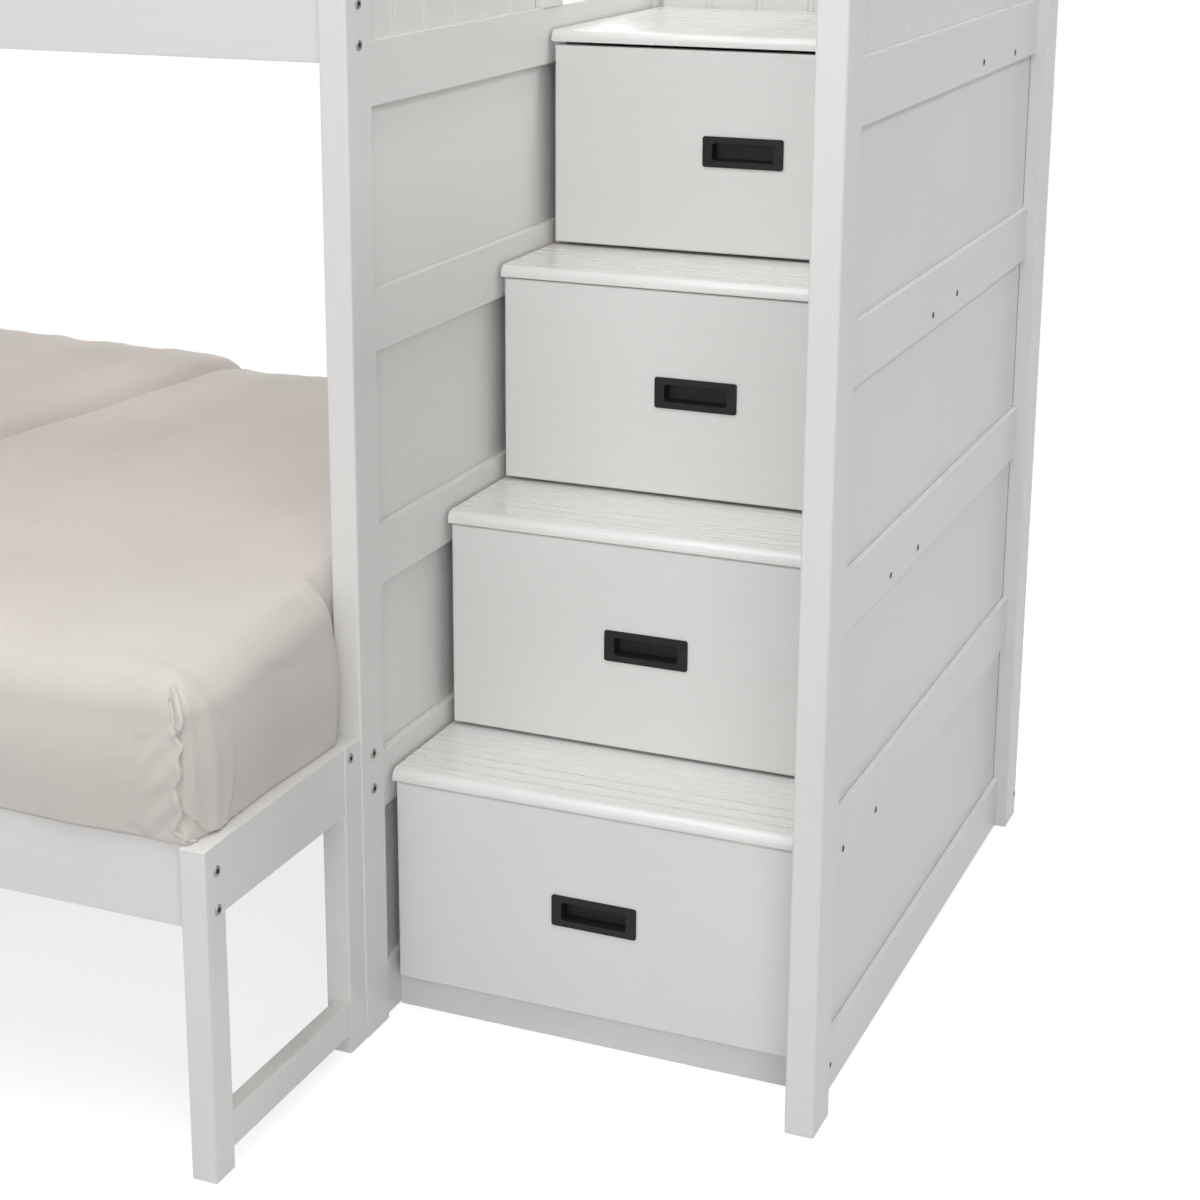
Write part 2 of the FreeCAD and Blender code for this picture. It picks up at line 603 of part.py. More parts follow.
def drawers():
    centre_x = STAIR_WIDTH / 2.0
    for step in range(STEPS):
        pull_z = (front_bottom(step) + front_top(step)) / 2.0 + PULL_RAISE
        prefix = "drawer_" + str(step + 1)
        save(prefix + "_front", [drawer_front(step, centre_x, pull_z)])
        save(prefix + "_box", drawer_box(step))
        save(prefix + "_bottom", [drawer_bottom(step)])
        save(prefix + "_pull", [flush_pull(step, centre_x, pull_z)])


# ================================================================ upper bunk
def spaced(start, end, width, count):
    """First edges of equal strips spread evenly between two ends, with a gap at each end."""
    gap = (end - start - count * width) / (count + 1)
    return [start + gap + index * (gap + width) for index in range(count)]


def upper_bunk():
    x0 = -POST_W - BED_LENGTH
    x1 = -POST_W
    rail_ys = (POST_SIDE_RAIL_Y, REAR_RAIL_INNER)
    z1 = SIDE_RAIL_Z + SIDE_RAIL_H
    guard_z0 = TOP_RAIL_Z1 - GUARD_RAIL_H
    guard_rails = []
    guard_slats = []
    for name, y in zip(("front", "rear"), rail_ys):
        save("upper_" + name + "_rail", [box(x0, x1, y, y + SIDE_RAIL_T, SIDE_RAIL_Z, z1)])
        guard_rails.append(box(x0, x1, y, y + SIDE_RAIL_T, guard_z0, TOP_RAIL_Z1))
        y_slat = y + (SIDE_RAIL_T - GUARD_SLAT_T) / 2.0
        for x in spaced(x0, x1, GUARD_SLAT_W, GUARD_SLATS):
            guard_slats.append(box(x, x + GUARD_SLAT_W, y_slat, y_slat + GUARD_SLAT_T, z1, guard_z0))
    save("guard_rails", guard_rails)
    save("guard_slats", guard_slats)
    ledge_z = SIDE_RAIL_Z + LEDGE_UP
    front_inner = POST_SIDE_RAIL_Y + SIDE_RAIL_T
    rear_inner = REAR_RAIL_INNER
    save("upper_ledges", [box(x0, x1, front_inner, front_inner + LEDGE_W, ledge_z, ledge_z + LEDGE_H),
                          box(x0, x1, rear_inner - LEDGE_W, rear_inner, ledge_z, ledge_z + LEDGE_H)])
    save("upper_slats", slat_row(front_inner, rear_inner, ledge_z + LEDGE_H))


def slat_row(front_inner, rear_inner, z0):
    """Slats across the bed between its two side rails."""
    slats = []
    for x in spaced(-POST_W - BED_LENGTH, -POST_W, SLAT_W, SLATS):
        slats.append(box(x, x + SLAT_W, front_inner + SLAT_END_GAP, rear_inner - SLAT_END_GAP,
                         z0, z0 + SLAT_T))
    return slats


# ================================================================ lower bed
def lower_bed():
    foot_x = -LEG_INSET - LEG_W
    head_x = X_HEAD + LEG_INSET
    front_y0 = -LOWER_REACH
    legs = []
    short_posts = []
    for end, x, rail_x in (("foot", foot_x, foot_x + LEG_W - LEG_INSET - LOWER_END_T),
                           ("head", head_x, head_x + LEG_INSET)):
        legs.append(post(x, front_y0, LEG_D, 0, LOWER_TOP, LEG_W))
        short_posts.append(post(x, -SHORT_POST_D, SHORT_POST_D, 0, LOWER_TOP, LEG_W))
        y0 = front_y0 + LEG_D
        save("lower_" + end + "_rails", [
            box(rail_x, rail_x + LOWER_END_T, y0, -SHORT_POST_D, LOWER_TOP - LOWER_END_H, LOWER_TOP),
            box(rail_x, rail_x + LOWER_END_T, y0, -SHORT_POST_D, STRETCHER_Z, STRETCHER_Z + STRETCHER_H)])
    save("lower_legs", legs)
    save("lower_short_posts", short_posts)
    rail_z0 = LOWER_TOP - LOWER_SIDE_H
    side_y = FRONT_RAIL_INNER - SIDE_RAIL_T
    tall_x0 = X_HEAD + POST_W
    tall_x1 = -POST_W
    save("lower_front_rail", [box(head_x + LEG_W, foot_x, side_y, FRONT_RAIL_INNER, rail_z0, LOWER_TOP)])
    save("lower_rear_rail", [box(tall_x0, tall_x1, REAR_RAIL_INNER, REAR_RAIL_INNER + SIDE_RAIL_T,
                                 rail_z0, LOWER_TOP)])
    slat_z0 = LOWER_TOP - LOWER_SLAT_DROP - SLAT_T
    beam_z0 = slat_z0 - MIDDLE_RAIL_H
    middle = [box(tall_x0, tall_x1, POST_SIDE_RAIL_Y, POST_SIDE_RAIL_Y + SIDE_RAIL_T, beam_z0, slat_z0)]
    for x in spaced(tall_x0, tall_x1, POST_W, MIDDLE_FEET):
        middle.append(post(x, POST_SIDE_RAIL_Y, SIDE_RAIL_T, 0, beam_z0))
    save("lower_middle_rail", middle)
    ledge_z0 = slat_z0 - LOWER_LEDGE_H
    save("lower_ledges", [
        box(tall_x0, tall_x1, FRONT_RAIL_INNER, FRONT_RAIL_INNER + LEDGE_W, ledge_z0, slat_z0),
        box(tall_x0, tall_x1, REAR_RAIL_INNER - LEDGE_W, REAR_RAIL_INNER, ledge_z0, slat_z0)])
    save("lower_slats", slat_row(FRONT_RAIL_INNER, REAR_RAIL_INNER, slat_z0))


# ================================================================ bedding
def bedding():
    """Mattress in the lower bed and the quilt over it, turned down at the head."""
    z0 = LOWER_TOP - LOWER_SLAT_DROP
    x0 = X_HEAD + POST_W + MATTRESS_END_GAP
    x1 = -POST_W - MATTRESS_END_GAP
    y0 = FRONT_RAIL_INNER + MATTRESS_SIDE_GAP
    y1 = REAR_RAIL_INNER - MATTRESS_SIDE_GAP
    mattress = box(x0, x1, y0, y1, z0, z0 + MATTRESS_T)
    upright = [edge for edge in mattress.Edges if edge.BoundBox.ZLength > MATTRESS_T - ON_FACE]
    save("lower_mattress", [mattress.makeFillet(MATTRESS_EDGE, upright)])
    save("quilt", [quilt(x1, y0, y1, z0 + MATTRESS_T)])


def quilt_section(x, y0, y1, hem, top):
    """Cross outline at one place along the bed: swelling sides, round shoulders and a low crown."""
    r = QUILT_SHOULDER
    k = r * (1.0 - math.sqrt(0.5))
    shoulder = top - r
    belly = (hem + shoulder) / 2.0
    full = QUILT_FULLNESS
    corners = [Vec(x, y0 + full, hem), Vec(x, y0 + full, shoulder), Vec(x, y0 + full + r, top),
               Vec(x, y1 - full - r, top), Vec(x, y1 - full, shoulder), Vec(x, y1 - full, hem)]
    middles = [Vec(x, y0, belly), Vec(x, y0 + full + k, top - k), Vec(x, (y0 + y1) / 2.0, top + QUILT_CROWN),
               Vec(x, y1 - full - k, top - k), Vec(x, y1, belly)]
    edges = []
    for start, middle, end in zip(corners, middles, corners[1:]):
        edges.append(Part.Arc(start, middle, end).toShape())
    edges.append(Part.makeLine(corners[-1], corners[0]))
    return Part.Face(Part.Wire(edges))


def quilt(x_foot, y0, y1, top):
    """Quilt hanging over the foot and both sides, its head end folded back on itself."""
    hem = LOWER_TOP + QUILT_GAP
    inner_top = top + QUILT_GAP
    flat_top = inner_top + QUILT_T
    y_out0 = FRONT_RAIL_INNER - SIDE_RAIL_T - QUILT_FRONT_OVER - QUILT_FULLNESS
    y_out1 = REAR_RAIL_INNER + SIDE_RAIL_T + QUILT_FULLNESS
    x_out = -LEG_INSET - QUILT_FOOT_SETBACK
    x_fold = x_foot - QUILT_LENGTH
    x_turn = x_fold + TURNED_LENGTH
    full = QUILT_FULLNESS
    r = QUILT_SHOULDER
    k = r * (1.0 - math.sqrt(0.5))
    over = flat_top + TRIM_RISE

    # lower layer: the cross outline run along the bed, rounded off over the foot
    lower = quilt_section(x_fold, y_out0, y_out1, hem, flat_top).extrude(Vec(x_out - x_fold, 0, 0))
    foot = [Vec(x_out - full, y_out0, hem), Vec(x_out - full, y_out0, over - r),
            Vec(x_out - full - r, y_out0, over)]
    head = [Vec(x_fold - CUT_PAST, y_out0, over), Vec(x_fold - CUT_PAST, y_out0, hem)]
    foot_edges = [Part.Arc(foot[0], Vec(x_out, y_out0, (hem + over - r) / 2.0), foot[1]).toShape(),
                  Part.Arc(foot[1], Vec(x_out - full - k, y_out0, over - k), foot[2]).toShape(),
                  Part.makeLine(foot[2], head[0]), Part.makeLine(head[0], head[1]),
                  Part.makeLine(head[1], foot[0])]
    rounded = Part.Face(Part.Wire(foot_edges)).extrude(Vec(0, y_out1 - y_out0, 0))
    lower = lower.common(rounded)

    # turned-down layer: the same outline raised, with a round fold and an edge that dies out
    high = flat_top + TURNED_T
    upper = quilt_section(x_fold, y_out0, y_out1, hem, high).extrude(Vec(TURNED_LENGTH + FOLD_SLOPE, 0, 0))
    over = high + TRIM_RISE
    rise = over - flat_top
    x_end = x_turn + FOLD_SLOPE
    bend = TURNED_T * (1.0 - math.sqrt(0.5))
    back = [Vec(x_fold, y_out0, hem), Vec(x_fold, y_out0, over - TURNED_T)]
    fold = [Vec(x_fold + bend, y_out0, over - bend), Vec(x_fold + TURNED_T, y_out0, over)]
    edge = [Vec(x_turn, y_out0, over),
            Vec(x_turn + FOLD_SLOPE * FOLD_BULGE, y_out0, flat_top + rise * FOLD_BULGE),
            Vec(x_end, y_out0, flat_top)]
    corner = Vec(x_end, y_out0, hem)
    fold_edges = [Part.makeLine(back[0], back[1]), Part.Arc(back[1], fold[0], fold[1]).toShape(),
                  Part.makeLine(fold[1], edge[0]), Part.Arc(edge[0], edge[1], edge[2]).toShape(),
                  Part.makeLine(edge[2], corner), Part.makeLine(corner, back[0])]
    turned = Part.Face(Part.Wire(fold_edges)).extrude(Vec(0, y_out1 - y_out0, 0))
    outer = lower.fuse(upper.common(turned)).removeSplitter()

    inner = box(x_fold - CUT_PAST, x_foot + QUILT_GAP, y0 - QUILT_GAP, y1 + QUILT_GAP,
                hem - CUT_PAST, inner_top)
    beside_posts = box(-POST_W - QUILT_GAP, 0, -QUILT_GAP, y_out1, hem - CUT_PAST, over)
    return outer.cut(inner).cut(beside_posts).removeSplitter()


# ================================================================ fasteners
def bolt_head(x, y, z):
    """Low round head on a face that looks along +X."""
    rim = []
    for index in range(BOLT_SIDES):
        angle = 2.0 * math.pi * index / BOLT_SIDES
        rim.append(Vec(x, y + BOLT_R * math.cos(angle), z + BOLT_R * math.sin(angle)))
    return prism(rim, Vec(BOLT_HEAD_H, 0, 0))


def frame_bolts():
    """Heads of the bolts that hold the side rails, seen on the posts' stair-side faces."""
    post_middle = POST_SIDE_RAIL_Y + SIDE_RAIL_T / 2.0
    upper_z = SIDE_RAIL_Z + SIDE_RAIL_H / 2.0
    lower_z = LOWER_TOP - LOWER_SIDE_H / 2.0 - LOWER_BOLT_DROP
    joints = [(0, post_middle, upper_z), (0, REAR_POST_Y + post_middle, upper_z), (0, post_middle, lower_z),
              (-LEG_INSET, FRONT_RAIL_INNER - SIDE_RAIL_T / 2.0, lower_z)]
    bolts = []
    for x, y, z in joints:
        bolts.append(bolt_head(x, y, z - BOLT_SPREAD / 2.0))
        bolts.append(bolt_head(x, y, z + BOLT_SPREAD / 2.0))
    bolts.append(bolt_head(-LEG_INSET, -SHORT_BOLT_OUT, LOWER_TOP - SHORT_BOLT_DROP))
    save("frame_bolts", bolts)


os.makedirs("parts", exist_ok=True)
dividing_end()
outer_end()
head_end()
steps()
stair_back()
drawer_guides()
drawers()
upper_bunk()
lower_bed()
bedding()
frame_bolts()
print("nodes", node_count, "facets", facet_count)
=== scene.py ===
import math
import bmesh
import bpy
from mathutils import Matrix, Vector, geometry, noise


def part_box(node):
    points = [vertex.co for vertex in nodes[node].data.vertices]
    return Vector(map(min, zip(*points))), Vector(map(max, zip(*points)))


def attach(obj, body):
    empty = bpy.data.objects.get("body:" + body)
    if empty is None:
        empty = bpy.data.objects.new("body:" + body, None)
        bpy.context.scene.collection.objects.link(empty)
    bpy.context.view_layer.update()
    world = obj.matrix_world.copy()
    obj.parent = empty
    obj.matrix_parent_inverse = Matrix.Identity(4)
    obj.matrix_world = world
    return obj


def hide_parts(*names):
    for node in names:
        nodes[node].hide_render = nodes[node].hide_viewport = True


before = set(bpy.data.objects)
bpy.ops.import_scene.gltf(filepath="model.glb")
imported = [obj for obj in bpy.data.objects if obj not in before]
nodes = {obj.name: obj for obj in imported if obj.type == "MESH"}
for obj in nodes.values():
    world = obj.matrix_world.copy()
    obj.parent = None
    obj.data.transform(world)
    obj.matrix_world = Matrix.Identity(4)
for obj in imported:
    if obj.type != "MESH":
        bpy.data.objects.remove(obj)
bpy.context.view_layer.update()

# The looks of a bunk bed with storage stairs: finish of the CAD nodes, mattress, quilt, fasteners, studio.
# Lengths are metres in the shared frame unless a comment says otherwise.
BED = "bed"

# The part's source is drawn from another origin; these two lengths turn its places into this frame.
SHIFT_X = 0.6865
SHIFT_Y = -0.3505


def place(x, y, z):
    """A point of the part's source, in its millimetres, as a point of this frame in metres."""
    return Vector((x / 1000.0 + SHIFT_X, y / 1000.0 + SHIFT_Y, z / 1000.0))


# ---------------------------------------------------------------- node trees
class Graph:
    """Adds and links the nodes of one node tree."""

    def __init__(self, tree):
        self.tree = tree

    def add(self, kind, **values):
        """A new node. Each value sets an attribute of that name or else the socket of that name."""
        node = self.tree.nodes.new(kind)
        for key, value in values.items():
            if hasattr(node, key):
                setattr(node, key, value)
            else:
                node.inputs[key.replace("_", " ")].default_value = value
        return node

    def link(self, source, target):
        self.tree.links.new(source, target)

    def maths(self, operation, first, second):
        node = self.add("ShaderNodeMath", operation=operation)
        for socket, value in zip(node.inputs, (first, second)):
            if isinstance(value, (int, float)):
                socket.default_value = value
            else:
                self.link(value, socket)
        return node.outputs["Value"]

    def mix_shaders(self, share, first, second):
        node = self.add("ShaderNodeMixShader")
        self.link(share, node.inputs[0])
        self.link(first.outputs[0], node.inputs[1])
        self.link(second.outputs[0], node.inputs[2])
        return node


class Shader(Graph):
    """One material on the object's own coordinates."""

    def __init__(self, name):
        self.mat = bpy.data.materials.new(name)
        self.mat.use_nodes = True
        super().__init__(self.mat.node_tree)
        self.bsdf = self.tree.nodes["Principled BSDF"]
        self.coords = self.add("ShaderNodeTexCoord").outputs["Object"]

    def stretched(self, scale):
        mapping = self.add("ShaderNodeMapping", Scale=scale)
        self.link(self.coords, mapping.inputs["Vector"])
        return mapping.outputs["Vector"]

    def noise(self, vector, scale, detail, rough=0.5, distortion=0.0):
        node = self.add("ShaderNodeTexNoise", Scale=scale, Detail=detail, Roughness=rough,
                        Distortion=distortion)
        self.link(vector, node.inputs["Vector"])
        return node.outputs["Fac"]

    def wave(self, vector, **values):
        node = self.add("ShaderNodeTexWave", **values)
        self.link(vector, node.inputs["Vector"])
        return node.outputs["Fac"]

    def ramp(self, value, stops):
        node = self.add("ShaderNodeValToRGB")
        elements = node.color_ramp.elements
        while len(elements) < len(stops):
            elements.new(0.5)
        for element, (position, colour) in zip(elements, stops):
            element.position = position
            element.color = (*colour, 1.0)
        self.link(value, node.inputs["Fac"])
        return node.outputs["Color"]

    def two_tone(self, value, dark, light, start=0.3, end=0.7):
        return self.ramp(value, [(start, dark), (end, light)])

    def spread(self, value, low, high):
        node = self.add("ShaderNodeMapRange", To_Min=low, To_Max=high)
        self.link(value, node.inputs["Value"])
        return node.outputs["Result"]

    def weighted(self, first, share, second):
        """Share of the first value and the rest of the second."""
        return self.maths("ADD", self.maths("MULTIPLY", first, share),
                          self.maths("MULTIPLY", second, 1.0 - share))

    def bump(self, height, distance, strength, under=None):
        node = self.add("ShaderNodeBump", Strength=strength, Distance=distance)
        self.link(height, node.inputs["Height"])
        if under is not None:
            self.link(under, node.inputs["Normal"])
        return node.outputs["Normal"]

    def set(self, **values):
        for key, value in values.items():
            self.bsdf.inputs[key.replace("_", " ")].default_value = value

    def wire(self, **sources):
        for key, source in sources.items():
            self.link(source, self.bsdf.inputs[key.replace("_", " ")])


# ---------------------------------------------------------------- materials
# Scale of the grain along each axis: long strokes one way, close lines across.
GRAIN = {"x": (0.5, 12.0, 12.0), "y": (12.0, 0.5, 12.0), "z": (12.0, 12.0, 0.5)}
RINGS = {"x": (0.35, 1.0, 1.0), "y": (1.0, 0.35, 1.0)}
FIBRES = {"x": (2.0, 90.0, 90.0), "y": (90.0, 2.0, 90.0)}
PAINT_DARK = (0.700, 0.694, 0.682)
PAINT_LIGHT = (0.735, 0.730, 0.719)
PINE_DARK = (0.46, 0.31, 0.17)
PINE_MIDDLE = (0.61, 0.45, 0.27)
PINE_LIGHT = (0.70, 0.55, 0.36)


def painted_wood(name, axis, rough, tone=1.0, relief=1.0):
    """Satin paint that keeps a trace of the grain under it, and a fine orange peel."""
    s = Shader(name)
    grain = s.noise(s.stretched(GRAIN[axis]), scale=7.0, detail=5.0, rough=0.55, distortion=0.4)
    cloud = s.noise(s.coords, scale=2.6, detail=3.0)
    peel = s.noise(s.coords, scale=420.0, detail=2.0)
    # tone lightens or darkens both colours alike; where it is not 1 it is painted light.
    dark, light = [tuple(value * tone for value in colour) for colour in (PAINT_DARK, PAINT_LIGHT)]
    grain_relief = s.bump(grain, distance=0.0007, strength=0.35 * relief)
    s.wire(Base_Color=s.two_tone(s.weighted(grain, 0.35, cloud), dark, light),
           Roughness=s.spread(grain, rough - 0.05, rough + 0.06),
           Normal=s.bump(peel, distance=0.00006, strength=0.5 * relief, under=grain_relief))
    s.set(IOR=1.5, Coat_Weight=0.12, Coat_Roughness=0.22)
    return s.mat


def bare_pine(name, axis):
    """Planed softwood with growth rings and fine pores."""
    s = Shader(name)
    rings = s.wave(s.stretched(RINGS[axis]), wave_type="RINGS", rings_direction=axis.upper(),
                   Scale=16.0, Distortion=5.5, Detail=3.0, Detail_Scale=1.4)
    fibre = s.noise(s.stretched(FIBRES[axis]), scale=6.0, detail=6.0, rough=0.6)
    figure = s.weighted(rings, 0.55, fibre)
    s.wire(Base_Color=s.ramp(figure, [(0.15, PINE_DARK), (0.5, PINE_MIDDLE), (0.85, PINE_LIGHT)]),
           Roughness=s.spread(fibre, 0.5, 0.68),
           Normal=s.bump(figure, distance=0.0006, strength=0.5))
    s.set(IOR=1.45)
    return s.mat


def matte_black(name):
    """Powder coat of the flush pulls."""
    s = Shader(name)
    grit = s.noise(s.coords, scale=1400.0, detail=2.0)
    cloud = s.noise(s.coords, scale=30.0, detail=2.0)
    s.wire(Base_Color=s.two_tone(cloud, (0.008, 0.008, 0.008), (0.011, 0.011, 0.010)),
           Roughness=s.spread(cloud, 0.46, 0.56),
           Normal=s.bump(grit, distance=0.00005, strength=0.6))
    s.set(IOR=1.36)
    return s.mat


def plated_steel(name):
    """Brushed zinc on the heads of bolts and screws."""
    s = Shader(name)
    brushed = s.noise(s.stretched((60.0, 900.0, 60.0)), scale=4.0, detail=3.0)
    s.wire(Base_Color=s.two_tone(brushed, (0.30, 0.30, 0.30), (0.42, 0.42, 0.41)),
           Roughness=s.spread(brushed, 0.28, 0.42),
           Normal=s.bump(brushed, distance=0.00003, strength=0.5))
    s.set(Metallic=1.0)
    return s.mat


def painted_socket_shade(name):
    """Painted shade: near-black for the inside of a hexagonal socket, where the steel lies in shade."""
    s = Shader(name)
    cloud = s.noise(s.coords, scale=300.0, detail=2.0)
    s.wire(Base_Color=s.two_tone(cloud, (0.018, 0.018, 0.018), (0.035, 0.035, 0.034)),
           Roughness=s.spread(cloud, 0.5, 0.7))
    s.set(Metallic=0.4)
    return s.mat


def woven(name, dark, light, threads, rough, sheen):
    """Close plain weave with soft, cloudy shade variation."""
    s = Shader(name)
    weft, warp, pile = [s.wave(s.coords, bands_direction=axis, Scale=threads, Distortion=0.6)
                        for axis in "XYZ"]
    weave = s.maths("ADD", s.maths("MULTIPLY", weft, warp), pile)
    cloud = s.noise(s.coords, scale=3.2, detail=4.0)
    slub = s.noise(s.stretched((30.0, 240.0, 240.0)), scale=1.0, detail=3.0)
    slub_relief = s.bump(slub, distance=0.0004, strength=0.25)
    s.wire(Base_Color=s.two_tone(s.weighted(cloud, 0.75, slub), dark, light, start=0.32, end=0.68),
           Roughness=s.spread(slub, rough - 0.05, rough + 0.05),
           Normal=s.bump(weave, distance=0.00012, strength=0.35, under=slub_relief))
    s.set(Sheen_Weight=sheen, Sheen_Roughness=0.5, IOR=1.4)
    return s.mat


paint = {axis: painted_wood("satin_paint_" + axis, axis, rough=0.36) for axis in "xyz"}
# The treads are the same white paint as the rest, painted 6 per cent lighter: painted light for the brighter
# light on their tops.
lit_tread_paint = painted_wood("satin_tread_paint_lit", "x", rough=0.27, tone=1.06, relief=0.35)
drawer_paint = painted_wood("drawer_front_paint", "x", rough=0.34)
box_paint = painted_wood("drawer_box_paint", "y", rough=0.48)
pine_x = bare_pine("planed_pine_x", "x")
pine_y = bare_pine("planed_pine_y", "y")
black = matte_black("matte_black_coat")
steel = plated_steel("plated_steel")
socket_shade_paint = painted_socket_shade("socket_shadow")
quilt_cloth = woven("taupe_cotton", dark=(0.592, 0.549, 0.515), light=(0.652, 0.608, 0.574),
                    threads=260.0, rough=0.8, sheen=0.15)
ticking = woven("mattress_knit", dark=(0.66, 0.65, 0.62), light=(0.74, 0.73, 0.70),
                threads=180.0, rough=0.85, sheen=0.1)

# ---------------------------------------------------------------- CAD nodes: finish and eased edges
WOOD_EASE = 0.0011
FRONT_EASE = 0.0006
SMALL_EASE = 0.0005
BOARD_EASE = 0.0004
SHARP_EDGE = math.radians(35)


def dress(name, material, ease=WOOD_EASE):
    """Gives a CAD node its material and softens its hard edges."""
    node = nodes[name]
    node.data.materials.clear()
    node.data.materials.append(material)
    weld = node.modifiers.new("joined", "WELD")
    weld.merge_threshold = 0.00001
    bevel = node.modifiers.new("eased", "BEVEL")
    bevel.width = ease
    bevel.segments = 2
    bevel.limit_method = "ANGLE"
    bevel.angle_limit = SHARP_EDGE
    bevel.harden_normals = False


# Painted nodes by the axis that their grain runs along.
PAINTED = {
    "z": ("dividing_front_post", "dividing_rear_post", "dividing_entry_post", "outer_front_post",
          "outer_rear_post", "head_front_post", "head_rear_post", "lower_legs", "lower_short_posts",
          "guard_slats", "stair_back_battens"),
    "y": ("dividing_rails", "outer_rails", "head_rails", "lower_foot_rails", "lower_head_rails",
          "tread_cleats", "dividing_panels", "outer_panels"),
    "x": ("plinth", "landing_top_rail", "upper_front_rail", "upper_rear_rail", "guard_rails",
          "upper_ledges", "lower_front_rail", "lower_rear_rail", "lower_ledges", "lower_middle_rail"),
}
for grain_axis, names in PAINTED.items():
    for name in names:
        dress(name, paint[grain_axis])
for name in ("dividing_beadboard", "outer_beadboard", "head_beadboards", "stair_back_board"):
    dress(name, paint["z"], BOARD_EASE)
for step in range(1, 5):
    dress("tread_%d" % step, lit_tread_paint, FRONT_EASE)
    dress("drawer_%d_front" % step, drawer_paint, FRONT_EASE)
    dress("drawer_%d_box" % step, box_paint)
    dress("drawer_%d_bottom" % step, pine_x, SMALL_EASE)
    dress("drawer_%d_pull" % step, black, SMALL_EASE)
for name in ("drawer_guides", "upper_slats", "lower_slats"):
    dress(name, pine_y)


# ---------------------------------------------------------------- mesh helpers
def piece(name, bm, materials, smooth=True):
    """Turns a finished mesh into a piece of the bed."""
    mesh = bpy.data.meshes.new(name)
    bm.to_mesh(mesh)
    bm.free()
    obj = bpy.data.objects.new(name, mesh)
    bpy.context.scene.collection.objects.link(obj)
    for material in materials:
        mesh.materials.append(material)
    if smooth:
        for polygon in mesh.polygons:
            polygon.use_smooth = True
    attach(obj, BED)
    return obj


def smooth_step(low, high, value):
    """Goes from 0 at low to 1 at high. low may be the larger of the two."""
    t = min(max((value - low) / (high - low), 0.0), 1.0)
    return t * t * (3.0 - 2.0 * t)


def bell(value, middle, width):
    return math.exp(-((value - middle) / width) ** 2)


def along_table(table, value):
    """Value read off a short table of places, with smooth passages."""
    if value <= table[0][0]:
        return table[0][1]
    for (a0, b0), (a1, b1) in zip(table, table[1:]):
        if value <= a1:
            return b0 + (b1 - b0) * smooth_step(a0, a1, value)
    return table[-1][1]


def axis_lines(low, high, step, fine, band):
    """Grid lines from low to high, closer together within a band at both ends."""
    lines = [low]
    while lines[-1] < high - 1e-6:
        here = lines[-1]
        near_end = here - low < band or high - here < band + step
        lines.append(min(high, here + (fine if near_end else step)))
    if len(lines) > 2 and lines[-1] - lines[-2] < fine * 0.5:
        lines.pop(-2)
    return lines


def soft_box(low, high, radius, grid, sides):
    """Skin of a rounded box on shared vertices. grid is its step and the finer one near the edges, and sides
    names those that are made: x- x+ y- y+ z- z+."""
    bm = bmesh.new()
    lines = [axis_lines(low[a], high[a], *grid, radius * 1.6) for a in range(3)]
    # a low side that is left open runs on straight, without a round edge
    core_low = [low[a] + (radius if "xyz"[a] + "-" in sides else 0.0) for a in range(3)]
    core_high = [high[a] - radius for a in range(3)]
    found = {}

    def vertex(index):
        if index not in found:
            p = Vector([lines[a][index[a]] for a in range(3)])
            core = Vector([min(max(p[a], core_low[a]), core_high[a]) for a in range(3)])
            away = p - core
            found[index] = bm.verts.new(core + away.normalized() * radius if away.length > 1e-9 else p)
        return found[index]

    for side in sides:
        axis = "xyz".index(side[0])
        fixed = len(lines[axis]) - 1 if side[1] == "+" else 0
        a, b = [other for other in range(3) if other != axis]
        for m in range(len(lines[a]) - 1):
            for n in range(len(lines[b]) - 1):
                corners = []
                for da, db in ((0, 0), (1, 0), (1, 1), (0, 1)):
                    index = [fixed, fixed, fixed]
                    index[a], index[b] = m + da, n + db
                    corners.append(vertex(tuple(index)))
                bm.faces.new(corners)
    bmesh.ops.recalc_face_normals(bm, faces=bm.faces)
    return bm


# ---------------------------------------------------------------- mattress
MATTRESS_LOW, MATTRESS_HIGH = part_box("lower_mattress")
# Knit cover: how far it stays inside the CAD solid, its round edge, and its grid, finer at the edges.
COVER_GAP = 0.003
COVER_RADIUS = 0.020
COVER_GRID = (0.022, 0.006)
# Quilted diamonds of the top: rise and sink, radians per metre, plain margin, and how far down they reach.
TUFT_RISE, TUFT_SINK = 0.004, 0.003
TUFT_RATE = 22.0
TUFT_MARGIN = 0.06
TUFT_DEPTH = 0.03
PIPING_RADIUS = 0.0035
PIPING_INSET = 0.0042
PIPING_CORNER = 0.022
PIPING_HEIGHTS = {"top": MATTRESS_HIGH.z - 0.022, "bottom": MATTRESS_LOW.z + 0.020}


def mattress_piece():
    """A knit cover over springs: top quilted in diamonds, plain border."""
    low = MATTRESS_LOW + Vector((COVER_GAP, COVER_GAP, 0.0))
    high = MATTRESS_HIGH - Vector((COVER_GAP, COVER_GAP, TUFT_RISE))
    bm = soft_box(low, high, COVER_RADIUS, COVER_GRID, ("x-", "x+", "y-", "y+", "z-", "z+"))
    for v in bm.verts:
        x, y, z = v.co
        if z > high.z - TUFT_DEPTH:
            inside = min(x - low.x, high.x - x, y - low.y, high.y - y)
            diamond = abs(math.sin((x + y) * TUFT_RATE)) * abs(math.sin((x - y) * TUFT_RATE))
            v.co.z += smooth_step(0.0, TUFT_MARGIN, inside) * (TUFT_RISE * diamond ** 0.5 - TUFT_SINK)
    return piece("mattress", bm, [ticking])


